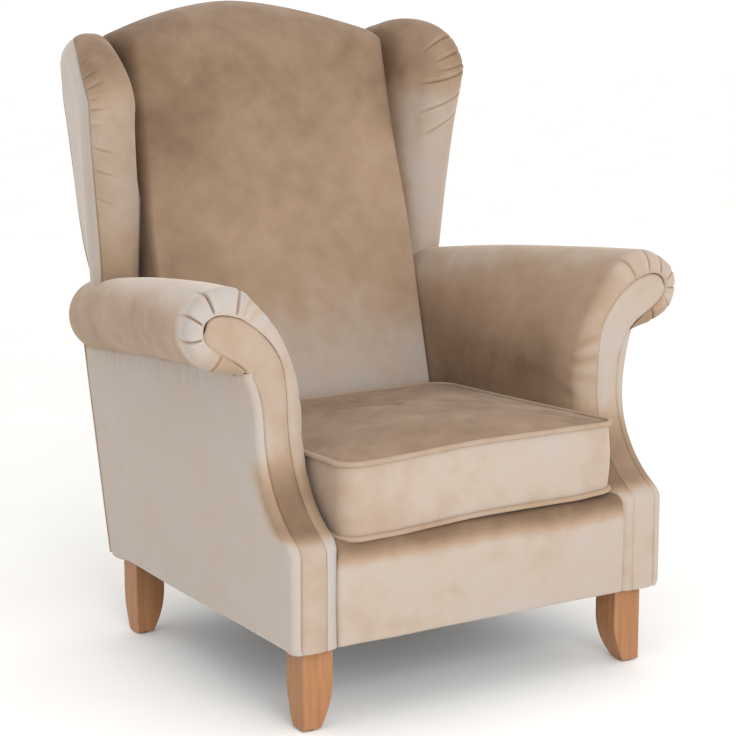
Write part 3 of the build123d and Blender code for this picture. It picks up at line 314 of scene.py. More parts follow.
# Arm pad: up the inner face, over the roll, down the tail and back inside
def arm_pad(side, pleats):
    behind_cushion_z = 0.288
    seam_end_x = SEAM_X[-1] / 1000
    seam_end_z = SEAM_Z[-1] / 1000
    lip_rise = 0.008
    lip_in = 0.014
    lip_x = 0.362
    wall_x = 0.335
    wall_z = 0.460
    post_x = 0.302
    border_run = 0.045
    pleat_r = 0.050
    end_sink = 0.055
    # where the hollow meets the roll, in degrees round the roll
    meet = 129.0

    def surface(u, v):
        body = np.clip((v - PAD_REAR) / (PAD_BODY - PAD_REAR), 0, 1)
        turn = np.clip((v - PAD_BODY) / (PAD_BORDER - PAD_BODY), 0, 1) * QUARTER
        dip = np.clip((v - PAD_BORDER) / (PAD_DIP - PAD_BORDER), 0, 1)
        sink = np.clip((v - PAD_DIP) / (1 - PAD_DIP), 0, 1)
        back_turn = np.clip(v / PAD_REAR, 0, 1) * QUARTER
        over = 1 - np.cos(turn)
        inset = ROLL_END * (1 - np.sin(back_turn))
        seam_x = spline(u, SEAM_AT, SEAM_X) / 1000 + SEAM_LAP
        seam_z = spline(u, SEAM_AT, SEAM_Z) / 1000
        seam_dip = SEAM_DIP * dip**0.7 * mix(1.0, 0.3, ease((u - 0.66) / 0.05))
        low = mix(behind_cushion_z, BASE_Z + 0.0006, ease((v - 0.40) / 0.14))
        border_x = pick(
            u,
            (PAD_TAIL, lambda t: seam_x),
            (PAD_LIP, lambda t: mix(seam_end_x, lip_x, t)),
            (PAD_BACK, lambda t: mix(lip_x, wall_x, t)),
            (PAD_WALL, lambda t: wall_x + 0 * t),
            (1.00, lambda t: mix(wall_x, SEAM_X[0] / 1000, t)),
        )
        border_z = pick(
            u,
            (PAD_TAIL, lambda t: np.maximum(seam_z, low)),
            (PAD_LIP, lambda t: mix(seam_end_z, seam_end_z + lip_rise, t)),
            (PAD_BACK, lambda t: mix(seam_end_z + lip_rise, wall_z, t)),
            (PAD_WALL, lambda t: mix(wall_z, low, t)),
            (1.00, lambda t: low + 0 * t),
        )
        # the front's place depends on the height and the height on the place, so both are found in turns
        z = np.full_like(u, 0.45)
        for _ in range(7):
            rear = back_plane_y(z, REAR_LIMIT)
            front = arm_front_y(z)
            run = mix(rear - ROLL_END, front + BORDER, 1 - (1 - body) ** 1.5)
            y = run + ROLL_END * np.cos(back_turn) - BORDER * np.sin(turn) + seam_dip
            shape = arm_shape(y, inset, side)
            cx, cz, r, start, inner, big, first, last, tip_x, tip_z, beak_x, beak_z = shape
            section_z = pick(
                u,
                (PAD_FACE, lambda t: mix(low, start, t)),
                (PAD_HOLLOW, lambda t: start + big * np.sin(mix(math.pi, first, t))),
                (PAD_ROLL, lambda t: cz + r * np.sin(mix(first, last, t))),
                (PAD_TAIL, lambda t: mix(tip_z, beak_z, t)),
                (PAD_LIP, lambda t: mix(beak_z, beak_z + lip_rise, t)),
                (PAD_BACK, lambda t: mix(beak_z + lip_rise, start - 0.01, t)),
                (PAD_WALL, lambda t: mix(start - 0.01, low, t)),
                (1.00, lambda t: low + 0 * t),
            )
            z = mix(section_z, border_z, over)
        section_x = pick(
            u,
            (PAD_FACE, lambda t: inner + 0 * t),
            (PAD_HOLLOW, lambda t: inner + big + big * np.cos(mix(math.pi, first, t))),
            (PAD_ROLL, lambda t: cx + r * np.cos(mix(first, last, t))),
            (PAD_TAIL, lambda t: mix(tip_x, beak_x, t)),
            (PAD_LIP, lambda t: mix(beak_x, beak_x - lip_in, t)),
            (PAD_BACK, lambda t: mix(beak_x - lip_in, post_x, t)),
            (PAD_WALL, lambda t: post_x + 0 * t),
            (1.00, lambda t: mix(post_x, inner, t)),
        )
        x = mix(section_x, border_x, over)
        # the end goes back far enough to lie behind the hollow facing
        points = stack(x, y + end_sink * sink, z)
        # distance from the facing's seam, and the place round the roll in degrees
        away = border_run * (1 - turn / QUARTER) + np.maximum(0, y - front - BORDER) * (v < PAD_BODY)
        angle = np.where(u < PAD_HOLLOW, meet + (PAD_HOLLOW - u) * 330.0, meet - (u - PAD_HOLLOW) * 498.0)
        relief = np.zeros_like(u)
        # pleat lines: painted shade in each pleat's crease and a painted highlight beside it
        lines = np.zeros_like(u)
        for place, depth, reach, slant in pleats:
            s = np.radians(angle - place - slant * away / border_run) * pleat_r
            crease = -hump(s, 0.0018) + 0.26 * hump(s - 0.0065, 0.0060) + 0.18 * hump(s + 0.0065, 0.0060)
            fade = ease(away / 0.007) * hump(np.maximum(0, away - 0.026), reach) * (u < PAD_TAIL)
            relief += depth * crease * fade
            lines += depth / 0.005 * fade * (0.30 * hump(s - 0.0050, 0.0036) - 1.1 * hump(s, 0.0016))
        relief += 0.0012 * wander(points, 0.16, 11 + side) * ease(away / 0.03)
        on_roll = ease((u - 0.46) / 0.10) * ease((0.74 - u) / 0.08)
        relief += ROLL_FULL[side] * hump(away - 0.024, 0.026) * on_roll
        # soft fullness beside the seam on the inner face, with a few dimples where the cover is pulled
        inside = ease((0.32 - u) / 0.12) * ease((z - 0.33) / 0.1)
        relief += 0.003 * hump(away - 0.06, 0.035) * inside
        for dimple in (0.385, 0.440, 0.500):
            relief -= 0.0022 * hump(z - dimple - 0.1 * away, 0.010) * hump(away - 0.050, 0.022) * inside
        # the pile and painted shade: dark low inside, under the roll, on its side, on the slope and along
        # the seam, pale over the top
        on_face = u < PAD_HOLLOW
        low_inside = on_face * ease((0.60 - z) / 0.14)
        under = ease((u - 0.64) / 0.12) * (u < 0.84) * ease((0.075 - away) / 0.03)
        roll_side = ease((u - 0.50) / 0.10) * ease((away - 0.04) / 0.05)
        slope = shoulder_slope(z) * on_face
        pile_and_shade = -0.72 * low_inside * ease((y - front) / 0.14) - 0.3 * hump(away, 0.003) - 1.1 * under
        pile_and_shade += 0.45 * ease((u - 0.28) / 0.10) * (u < PAD_TAIL) + 0.20 * ease((0.05 - away) / 0.03)
        pile_and_shade += lines + ARM_PILE_AND_SHADE[side] - ROLL_SIDE_PILE_AND_SHADE[side] * roll_side
        pile_and_shade += 0.6 * ease((0.312 - z) / 0.02) * on_face - 1.1 * slope * ease((0.06 - away) / 0.03)
        return points, relief, pile_and_shade

    return loft(f"arm_pad_{SIDE_NAME[side]}", 640, 130, surface, side)


# Facing of the arm front: a comma-shaped panel between two seams, whose places are in mm
def arm_facing(side):
    seam_at = (0.00, 0.30, 0.42, 0.50, 0.57, 0.64, 0.71, 0.79, 0.86, 0.92, 0.97, 1.00)
    inner_x = (298, 298, 300.5, 302.5, 306, 314, 335, 362, 392, 424, 440, 445)
    inner_z = (132.8, 300, 440, 500, 540, 570, 601, 626, 642, 645.5, 636, 622)
    outer_seam_x = (342, 342, 342.5, 344, 350, 364, 382, 402, 422, 435, 442.5, 445)
    outer_seam_z = (132.8, 300, 430, 478, 517, 548, 568, 580, 592, 602, 612, 622)
    fullness = 0.0030
    length = 0.40
    thick = 0.008

    def surface(u, v):
        ix = spline(v, seam_at, inner_x) / 1000 - SEAM_LAP
        iz = spline(v, seam_at, inner_z) / 1000
        ox = spline(v, seam_at, outer_seam_x) / 1000 + SEAM_LAP
        oz = spline(v, seam_at, outer_seam_z) / 1000 - 2 * SEAM_LAP * ease((v - 0.5) / 0.1)
        across = 0.5 - 0.5 * np.cos(math.pi * u)
        x = mix(ix, ox, across)
        z = mix(iz, oz, across)
        width = np.hypot(ix - ox, iz - oz)
        rim = np.minimum(np.minimum(across, 1 - across) * width, (1 - v) * length)
        sunk = SEAM_DIP * (1 - np.clip(rim / 0.005, 0, 1)) ** 2
        y = arm_front_y(z) + 0.0004 + sunk - fullness * ease(rim / 0.016)
        points = stack(x, y, z)
        relief = 0.0007 * wander(points, 0.10, 31 + side) * ease(rim / 0.012)
        head = ease((z - 0.55) / 0.05)
        # painted shade along both seams; darker on the shoulder slope and at the head
        pile_and_shade = FACING_PILE_AND_SHADE[side] - 0.3 * hump(rim, 0.0024) - 1.45 * shoulder_slope(z) - 0.20 * head
        return points, relief, pile_and_shade

    return loft(f"arm_facing_{SIDE_NAME[side]}", 44, 260, surface, side, thick=thick)


# Outer arm panel: round the front edge, along the side and flared out under the roll
def arm_outer_panel(side):
    seam_strip = 0.05
    front_edge = 0.17
    rear_edge = 0.95
    rear_curl = 0.004
    rear_drop = 0.007
    flare_height = 0.088
    tuck_in = 0.012

    def surface(u, v):
        # the height and the place depend on each other, so both are found in turns
        y = np.full_like(u, -0.2)
        for _ in range(7):
            *_, beak_x, beak_z = arm_shape(np.maximum(y, FACING_Y), 0.0, side)
            top = beak_z + 0.003
            tuck = ease(-y / 0.26) * ease((y - FRONT_Y - 0.008) / 0.03)
            low = BASE_Z + BASE_LAP - rear_drop * ease((y - 0.14) / 0.06)
            z = mix(low, top, np.clip(v / 0.97, 0, 1))
            front = arm_front_y(z)
            rear = back_plane_y(z, REAR_LIMIT)
            y = pick(
                u,
                (seam_strip, lambda t: front + SEAM_DIP * (1 - t) ** 2),
                (front_edge, lambda t: front + EDGE_R - EDGE_R * np.cos(t * QUARTER)),
                (rear_edge, lambda t: mix(front + EDGE_R, rear - rear_curl, t)),
                (1.00, lambda t: rear - rear_curl + 0.005 * np.sin(t * QUARTER)),
            )
        flared = beak_x - outer_x(np.maximum(y, FACING_Y))
        side_x = outer_x(y) + flared * np.clip((z - top + flare_height) / flare_height, 0, 1) ** 2
        side_x = side_x + HOLLOW_FULL[side] * hump(z - 0.490, 0.065) * hump(y - front, 0.06)
        strip = np.minimum(spline(z, STRIP_Z, STRIP_X), side_x - 0.004)
        edge = np.minimum(EDGE_R, side_x - strip)
        x = pick(
            u,
            (seam_strip, lambda t: mix(strip, side_x - edge, t)),
            (front_edge, lambda t: side_x - edge + edge * np.sin(t * QUARTER)),
            (rear_edge, lambda t: side_x + 0.0012 * np.sin(math.pi * t)),
            (1.00, lambda t: side_x - rear_curl + rear_curl * np.cos(t * QUARTER)),
        )
        # the top edge is tucked under the roll and the bottom edge under the base
        x = x - tuck_in * np.clip((v - 0.95) / 0.05, 0, 1) ** 2
        x = x - (0.004 + 0.003 * tuck) * np.clip((0.03 - v) / 0.03, 0, 1) ** 2
        points = stack(x, y, z)
        below = top - z
        rng = np.random.default_rng(5 + side)
        relief = np.zeros_like(u)
        for place in np.arange(FACING_Y + 0.03, 0.30, 0.038):
            at = place + rng.uniform(-0.012, 0.012)
            deep = rng.uniform(0.0006, 0.0022)
            reach = rng.uniform(0.016, 0.040)
            relief -= deep * hump(y - at - 0.15 * below, 0.0036) * hump(below, reach) * (u > front_edge)
        even = ease(below / 0.03) * ease((u - seam_strip) / 0.12)
        relief += 0.0009 * wander(points, 0.22, 51 + side) * even
        slope = shoulder_slope(z) * hump(y - front, 0.030)
        # painted shade just under the roll and at the front seam; darker on the shoulder slope
        pile_and_shade = 1.0 - 0.5 * hump(below, 0.006) - 0.3 * (u < 0.02) - 1.5 * slope
        return points, relief, pile_and_shade

    name = f"arm_outer_panel_{SIDE_NAME[side]}"
    return loft(name, 260, 160, surface, side, thick=PANEL_THICK)


# Rim of each wing in side view, from inside the arm up the front and over the top to the back, in mm
EAR_Y = {
    -1: (196, 196, 190, 177, 163, 161, 166, 178, 202, 231, 261, 293, 328, 352, 378, 400, 424, 444, 456),
    1: (195, 195, 189, 178, 163, 152, 149, 155, 175, 208, 246, 287, 325, 349, 374, 393, 415, 434, 445),
}
EAR_Z = {
    -1: (
        560, 600, 650, 775, 885, 930, 950, 968, 997, 1021,
        1037, 1046, 1046, 1043, 1038, 1032, 1024, 1010, 985,
    ),
    1: (
        560, 600, 650, 775, 900, 953, 978, 999, 1029, 1050,
        1061, 1065, 1061, 1055, 1049, 1042, 1035, 1022, 1000,
    ),
}
# Radius of the rim at each of those points, in mm
EAR_R = (32, 33, 35, 38, 40, 42, 42, 42, 40, 36, 32, 30, 29, 28, 27, 26, 25, 25, 25)
# Half width of the wings at the back in mm, by height in metres
WING_REAR_Z = (0.54, 0.62, 0.66, 0.70, 0.80, 0.88, 0.945, 1.00)
WING_REAR_X = (304, 313, 318, 320, 320, 320.5, 321, 316)
# How far the outer panel reaches round the rim to its seam at those points, in thousandths of a radian
SEAM_TURN = (
    780, 780, 780, 640, 500, 500, 500, 460, 370, 380,
    500, 640, 860, 1020, 1100, 1100, 1000, 900, 800,
)
# Share of that reach on each side
SEAM_SHARE = {-1: 1.0, 1: 0.6}


def ear_length(side):
    return 0.001 * float(np.hypot(np.diff(EAR_Y[side]), np.diff(EAR_Z[side])).sum())


def along_ear(side, at, values):
    """Value at a place along the rim, from one value in thousandths for each of its points."""
    steps = np.hypot(np.diff(EAR_Y[side]), np.diff(EAR_Z[side]))
    knots = np.concatenate(([0.0], np.cumsum(steps))) / steps.sum()
    return spline(at, knots, values) / 1000


def wing_side_x(y, z):
    """Flat outer side of the wing, flared and leaning out."""
    return (WING_REACH + WING_LEAN * z - math.sin(WING_FLARE) * y) / math.cos(WING_FLARE)


def wing_rear_x(z):
    """Half width of the wings at the back, which draw in towards the arms."""
    return spline(z, WING_REAR_Z, WING_REAR_X) / 1000


def wing_rim(side, at):
    """Centre of the rim, its radius, its ways out of the wing's side and forward, and its upward share."""
    step = 0.020
    ahead = np.minimum(at + step, 1)
    behind = np.maximum(at - step, 0)
    dy = along_ear(side, ahead, EAR_Y[side]) - along_ear(side, behind, EAR_Y[side])
    dz = along_ear(side, ahead, EAR_Z[side]) - along_ear(side, behind, EAR_Z[side])
    size = np.hypot(dy, dz)
    ny = -dz / size
    nz = dy / size
    r = along_ear(side, at, EAR_R)
    y = along_ear(side, at, EAR_Y[side]) - r * ny
    z = along_ear(side, at, EAR_Z[side]) - r * nz
    centre = stack(wing_side_x(y, z) - r / math.cos(WING_FLARE), y, z)
    out = np.array((math.cos(WING_FLARE), math.sin(WING_FLARE), -WING_LEAN))
    out /= np.linalg.norm(out)
    front = stack((-math.sin(WING_FLARE) * ny + WING_LEAN * nz) / math.cos(WING_FLARE), ny, nz)
    front /= np.linalg.norm(front, axis=-1, keepdims=True)
    return centre, r, out, front, np.maximum(nz, 0)


def seam_reach(side, at):
    """Turn from the wing's side round the rim to the outer seam, in radians."""
    return SEAM_SHARE[side] * along_ear(side, at, SEAM_TURN)


def round_rim(out, front, turn):
    return np.cos(turn)[..., None] * front + np.sin(turn)[..., None] * out


# Wing pad: a round rim that runs smoothly into an inner face, which dives behind the edge of the back
def wing_pad(side, gathers):
    rim_end = 0.50
    face_end = 0.86
    hidden_end = 0.95
    crease_top = 1.022
    crease_gap = 0.010
    bulge = 0.006
    hidden_out = 0.961
    hidden_down = 0.05

    def surface(u, v):
        centre, r, out, front, upward = wing_rim(side, v)
        kx, ky, kz = centre[..., 0], centre[..., 1], centre[..., 2]
        start = QUARTER - seam_reach(side, v)
        # the crease lies behind the rounded edge of the back, beside the rim
        crease_z = np.minimum(kz - crease_gap * upward, crease_top)
        behind_edge = back_plane_y(crease_z, BACK_DEPTH - BACK_CROWN) + back_edge(crease_z)[1] + crease_gap
        crease_y = np.maximum(behind_edge, ky + crease_gap * (1 - upward))
        crease_y = np.minimum(crease_y, back_plane_y(crease_z, REAR_LIMIT + 0.008))
        crease = stack(BACK_HALF - 0.002, crease_y, crease_z)
        to_crease = crease - centre
        along_out = to_crease @ out
        along_front = (to_crease * front).sum(axis=-1)
        reach = np.hypot(along_out, along_front)
        last = np.arctan2(along_out, along_front) + np.arccos(np.clip(r / reach, 0, 0.98))
        turn = mix(start, last, np.clip(u / rim_end, 0, 1))
        rim = centre + r[..., None] * round_rim(out, front, turn)
        seam = centre + (r - 0.010)[..., None] * round_rim(out, front, start)
        hidden = stack(
            kx + hidden_out * r - 0.03,
            np.minimum(ky + 0.05, back_plane_y(kz, REAR_LIMIT)),
            kz - hidden_down * r - 0.012,
        )
        face = np.clip((u - rim_end) / (face_end - rim_end), 0, 1)
        back_way = np.clip((u - face_end) / (hidden_end - face_end), 0, 1)[..., None]
        last_way = np.clip((u - hidden_end) / (1 - hidden_end), 0, 1)[..., None]
        points = np.where((u <= rim_end)[..., None], rim, mix(rim, crease, face[..., None]))
        points = np.where((u > face_end)[..., None], mix(crease, hidden, back_way), points)
        points = np.where((u > hidden_end)[..., None], mix(hidden, seam, last_way), points)
        points[..., 1] = np.minimum(points[..., 1], back_plane_y(points[..., 2], REAR_LIMIT))
        # gathers run in from the outer seam over the rim
        shown = u < face_end
        from_seam = np.where(u < rim_end, r * (start - turn), r * (start - last) + 0.08 * face)
        relief = bulge * np.sin(math.pi * np.clip((u - 0.28) / 0.58, 0, 1)) ** 2
        # gather lines: painted shade in each gather's crease and a painted highlight beside it
        lines = np.zeros_like(u)
        for place, depth, reach_in, slant in gathers:
            s = (v - place) * ear_length(side) - slant * from_seam
            fold = -hump(s, 0.0026) + 0.26 * hump(s - 0.0080, 0.0065) + 0.20 * hump(s + 0.0080, 0.0065)
            fade = ease((reach_in - from_seam) / 0.030) * ease(from_seam / 0.010) * shown
            relief += depth * fold * fade
            lines += depth / 0.0024 * fade * (0.35 * hump(s - 0.0060, 0.0040) - 1.0 * hump(s, 0.0018))
        relief += 0.0014 * wander(points, 0.17, 71 + side) * shown * ease(from_seam / 0.02)
        height = points[..., 2]
        # painted shade across the inner face towards the crease and along the outer seam; darker towards
        # the top and low down
        pile_and_shade = WING_PILE_AND_SHADE[side] - 0.85 * ease((face - 0.15) / 0.7)
        pile_and_shade = pile_and_shade - WING_TOP_PILE_AND_SHADE[side] * ease((height - 0.90) / 0.10)
        pile_and_shade = pile_and_shade - WING_LOW_PILE_AND_SHADE[side] * ease((0.76 - height) / 0.12)
        pile_and_shade = pile_and_shade - 0.4 * hump(from_seam, 0.003) + lines
        return points, relief, pile_and_shade

    return loft(f"wing_pad_{SIDE_NAME[side]}", 170, 560, surface, side, soften=4)


# Outer wing panel: from its seam round the rim, then flat to the outside back
def wing_outer_panel(side):
    rim_end = 0.30
    low_z = 0.560
    fullness = 0.0060

    def surface(u, v):
        centre, r, out, front, _ = wing_rim(side, v)
        reach = seam_reach(side, v)
        turn = QUARTER - reach * np.clip(1 - u / rim_end, 0, 1)
        flat = np.clip((u - rim_end) / (1 - rim_end), 0, 1)
        flat_y = centre[..., 1] + r * out[1]
        flat_z = centre[..., 2] + r * out[2]
        top_z = wing_rim(side, np.array(1.0))[0][2]
        rear_z = mix(low_z, top_z, ease(v) * 0.6 + 0.4 * v)
        rear_y = back_plane_y(rear_z, REAR_LIMIT)
        y = mix(flat_y, rear_y, flat)
        z = mix(flat_z, rear_z, flat)
        x = wing_side_x(y, z) + (wing_rear_x(rear_z) - wing_side_x(rear_y, rear_z)) * ease(flat)
        width = np.hypot(rear_y - flat_y, rear_z - flat_z)
        from_seam = r * (turn - QUARTER + reach) + flat * width
        rim = np.minimum(from_seam, (1 - flat) * width + 0.002)
        raised = fullness * ease(rim / 0.045) - 0.0045 * (1 - np.clip(rim / 0.005, 0, 1)) ** 2
        way = round_rim(out, front, turn)
        rounded = centre + r[..., None] * way
        points = np.where((u < rim_end)[..., None], rounded, stack(x, y, z)) + raised[..., None] * way
        points[..., 1] = np.minimum(points[..., 1], back_plane_y(points[..., 2], REAR_LIMIT - 0.002))
        rng = np.random.default_rng(25 + side)
        relief = np.zeros_like(u)
        for place in np.arange(0.25, 0.85, 0.045):
            at = (v - place - rng.uniform(-0.012, 0.012)) * ear_length(side)
            relief -= rng.uniform(0.0004, 0.0014) * hump(at, 0.0034) * hump(from_seam, 0.016)
        relief += 0.0008 * wander(points, 0.2, 91 + side) * ease(rim / 0.02)
        # painted shade along the seams
        pile_and_shade = 1.05 - 0.9 * hump(rim, 0.003)
        return points, relief, pile_and_shade

    name = f"wing_outer_panel_{SIDE_NAME[side]}"
    return loft(name, 84, 210, surface, side, thick=PANEL_THICK)


def edge_turn(v, edge):
    """Turn round a piece's two rounded side edges, and the side that each row is on."""
    left = np.clip(1 - v / edge, 0, 1)
    right = np.clip((v - 1 + edge) / edge, 0, 1)
    return np.where(v < 0.5, left, right) * QUARTER, np.where(v < 0.5, -1.0, 1.0)


# Inside back: up the raked face, over the humped crest and down behind
def inside_back():
    edge = 0.08
    face_end = 0.46
    crest_top = 0.64
    crest_end = 0.78
    rear_end = 0.96
    rear_drop = 0.027
    belly_depth = 0.010

    def surface(u, v):
        turn, hand = edge_turn(v, edge)
        flat = np.clip((v - edge) / (1 - 2 * edge), 0, 1) * 2 - 1
        low = DECK_Z + 0.0005
        fall = 1 - np.cos(turn)
        # the side edges' rounding depends on the height, so both are found in turns
        z = np.full_like(u, 0.7)
        for _ in range(6):
            across, deep = back_edge(z)
            x = flat * (BACK_HALF - across) + hand * across * np.sin(turn)
            share = np.clip((x / CREST_HALF) ** 2, 0, 1)
            top = crest_z(x) - 0.014 * fall
            depth = face_depth(x) - deep * fall
            apex = back_plane_y(top, mix(0.081, 0.116, share))
            front_drop = mix(0.074, 0.016, share)
            front_z = top - front_drop
            front_y = back_plane_y(front_z, depth)
            rear_z = top - rear_drop
            rear_y = back_plane_y(rear_z, REAR_LIMIT + 0.004 * fall)
            front_r = ((apex - front_y) ** 2 + front_drop**2) / (2 * front_drop)
            rear_r = ((rear_y - apex) ** 2 + rear_drop**2) / (2 * rear_drop)
            front_turn = np.arctan2(apex - front_y, front_r - front_drop)
            rear_turn = np.arctan2(rear_y - apex, rear_r - rear_drop)
            z = pick(
                u,
                (face_end, lambda t: mix(low, front_z, 1 - (1 - t) ** 1.5)),
                (crest_top, lambda t: top - front_r + front_r * np.cos(front_turn * (1 - t))),
                (crest_end, lambda t: top - rear_r + rear_r * np.cos(rear_turn * t)),
                (rear_end, lambda t: mix(rear_z, low, t)),
                (1.00, lambda t: low + 0 * t),
            )
        bottom_y = back_plane_y(low, depth)
        bottom_rear = back_plane_y(low, REAR_LIMIT + 0.040)
        y = pick(
            u,
            (face_end, lambda t: mix(bottom_y, front_y, 1 - (1 - t) ** 1.5)),
            (crest_top, lambda t: apex - front_r * np.sin(front_turn * (1 - t))),
            (crest_end, lambda t: apex + rear_r * np.sin(rear_turn * t)),
            (rear_end, lambda t: mix(rear_y, bottom_rear, t)),
            (1.00, lambda t: mix(bottom_rear, bottom_y, t)),
        )
        points = stack(x, y, z)
        belly = belly_depth * np.sin(math.pi * np.clip((z - 0.36) / 0.62, 0, 1)) * (1 - flat**2) * (u < 0.5)
        relief = belly + 0.0016 * wander(points, 0.28, 3)
        # pile and painted shade of the recess between the wings: darker towards the crest and at the left,
        # lighter low down, with painted shade round the side edges into the creases
        pile_and_shade = -0.15 - 0.45 * ease((z - 0.70) / 0.30) + 0.95 * ease((0.64 - z) / 0.24)
        pile_and_shade = pile_and_shade - 0.40 * ease((-x - 0.04) / 0.22) - 0.15 * ease(turn / 1.2)
        return points, relief, pile_and_shade

    return loft("inside_back", 300, 190, surface, soften=3)


# Outside back: a stretched panel from the base to the crest, with a corner behind each wing
def outside_back():
    top_z = CREST_Z - OUTER_CREST_DROP
    corner_left = 0.992
    corner_right = 1.004
    side_gap = 0.003
    curl = 0.006

    def surface(u, v):
        corner = np.where(u > 0.5, corner_right, corner_left)
        z = mix(BASE_Z + 0.0006, top_z - 0.0005, v)
        y = back_plane_y(z)
        half = mix(outer_x(y) - side_gap, wing_rear_x(z) - side_gap, ease((z - 0.500) / 0.07))
        crest = CREST_HALF * (np.maximum(0, top_z - z) / CREST_DROP) ** (1 / CREST_POWER)
        crest = np.minimum(BACK_HALF + 0.002, np.maximum(crest, 0.004))
        half = mix(half, crest, ease((z - corner + 0.012) / 0.020)) - 0.001
        across = np.sin(QUARTER * (2 * u - 1))
        x = half * across
        rim = np.minimum((1 - np.abs(across)) * half, np.minimum(top_z - z, 0.05 + z - BASE_Z))
        y = y - curl * (1 - np.clip(rim / 0.007, 0, 1)) ** 2
        points = stack(x, y, z)
        relief = -0.003 * np.sin(math.pi * np.clip((z - 0.2) / 0.8, 0, 1)) * (1 - across**2)
        relief += 0.0008 * wander(points, 0.3, 8)
        # painted shade along the edges
        pile_and_shade = 0.6 - 0.2 * hump(rim, 0.003)
        return points, relief, pile_and_shade

    return loft("outside_back", 110, 200, surface, thick=PANEL_THICK)


# Front border under the cushion
def apron():
    edge = 0.05
    low_edge = 0.04
    front_end = 0.42
    top_edge = 0.62
    top_end = 0.66
    rear_end = 0.90
    side_r = 0.006
    low_r = 0.005
    top_r = 0.020
    top_z = 0.2988
    rear = FRONT_Y + 0.024

    def surface(u, v):
        turn, hand = edge_turn(v, edge)
        flat = np.clip((v - edge) / (1 - 2 * edge), 0, 1) * 2 - 1
        inset = side_r * (1 - np.cos(turn))
        x = flat * (APRON_HALF - side_r) + hand * side_r * np.sin(turn)
        front = FRONT_Y + inset
        low = BASE_Z + BASE_LAP
        top = top_z - inset
        y = pick(
            u,
            (low_edge, lambda t: mix(front + low_r, front, np.sin(t * QUARTER))),
            (front_end, lambda t: front + 0 * t),
            (top_edge, lambda t: front + top_r - top_r * np.cos(t * QUARTER)),
            (top_end, lambda t: mix(front + top_r, rear, t)),
            (rear_end, lambda t: rear + 0 * t),
            (1.00, lambda t: mix(rear, front + low_r, t)),
        )
        z = pick(
            u,
            (low_edge, lambda t: low + low_r * (1 - np.cos(t * QUARTER))),
            (front_end, lambda t: mix(low + low_r, top - top_r, t)),
            (top_edge, lambda t: top - top_r + top_r * np.sin(t * QUARTER)),
            (top_end, lambda t: top + 0 * t),
            (rear_end, lambda t: mix(top, low, t)),
            (1.00, lambda t: low + 0 * t),
        )
        points = stack(x, y, z)
        relief = 0.0010 * wander(points, 0.14, 17) * (u < 0.6)
        relief += 0.0020 * np.sin(math.pi * np.clip((z - low) / (top - low), 0, 1)) * (u < front_end)
        # painted shadow of the cushion along the top, where the pile is also browner, and painted shade
        # round the side edges
        pile_and_shade = 0.75 - 1.8 * ease((z - 0.250) / 0.042) - 0.4 * ease((turn - 0.8) / 0.7)
        return points, relief, pile_and_shade

    return loft("apron", 140, 220, surface)


# Outline of the seat cushion: rounded corners and sides drawn in a little
CUSHION_HALF = 0.2605
CUSHION_FRONT = -0.4504
CUSHION_REAR = 0.0598
SEAM_LOW = 0.3066
SEAM_HIGH = 0.4236
CORNER_FRONT_R = 0.030
CORNER_REAR_R = 0.040
SIDE_PULL = 0.0035


def cushion_outline(u):
    """Round the cushion from its left front corner, along the front first."""
    half = CUSHION_HALF
    near = CUSHION_FRONT
    far = CUSHION_REAR
    rf = CORNER_FRONT_R
    rr = CORNER_REAR_R

    def side_in(t):
        return SIDE_PULL * 4 * t * (1 - t)

    x = pick(
        u,
        (0.20, lambda t: mix(-half + rf, half - rf, t)),
        (0.27, lambda t: half - rf + rf * np.sin(QUARTER * t)),
        (0.47, lambda t: half - side_in(t)),
        (0.53, lambda t: half - rr + rr * np.cos(QUARTER * t)),
        (0.73, lambda t: mix(half - rr, -half + rr, t)),
        (0.79, lambda t: -half + rr - rr * np.sin(QUARTER * t)),
        (0.93, lambda t: -half + side_in(t)),
        (1.00, lambda t: -half + rf - rf * np.cos(QUARTER * t)),
    )
    y = pick(
        u,
        (0.20, lambda t: near + side_in(t)),
        (0.27, lambda t: near + rf - rf * np.cos(QUARTER * t)),
        (0.47, lambda t: mix(near + rf, far - rr, t)),
        (0.53, lambda t: far - rr + rr * np.sin(QUARTER * t)),
        (0.73, lambda t: far - side_in(t)),
        (0.79, lambda t: far - rr + rr * np.cos(QUARTER * t)),
        (0.93, lambda t: mix(far - rr, near + rf, t)),
        (1.00, lambda t: near + rf - rf * np.sin(QUARTER * t)),
    )
    return x, y


def seam_high(x, y):
    """Height of the top seam, which falls towards the back and sags a little at the left front."""
    back = (y - CUSHION_FRONT) / (CUSHION_REAR - CUSHION_FRONT)
    return SEAM_HIGH - 0.020 * back - 0.007 * ease(-x / 0.22) * np.clip(1 - back, 0, 1)


def seam_low(x, y):
    """Height of the bottom seam, which hangs over the border at the left front and lifts at the right."""
    front = ease((CUSHION_FRONT + 0.16 - y) / 0.16)
    return SEAM_LOW - front * (0.008 * ease((0.02 - x) / 0.22) - 0.004 * ease((x - 0.17) / 0.08))


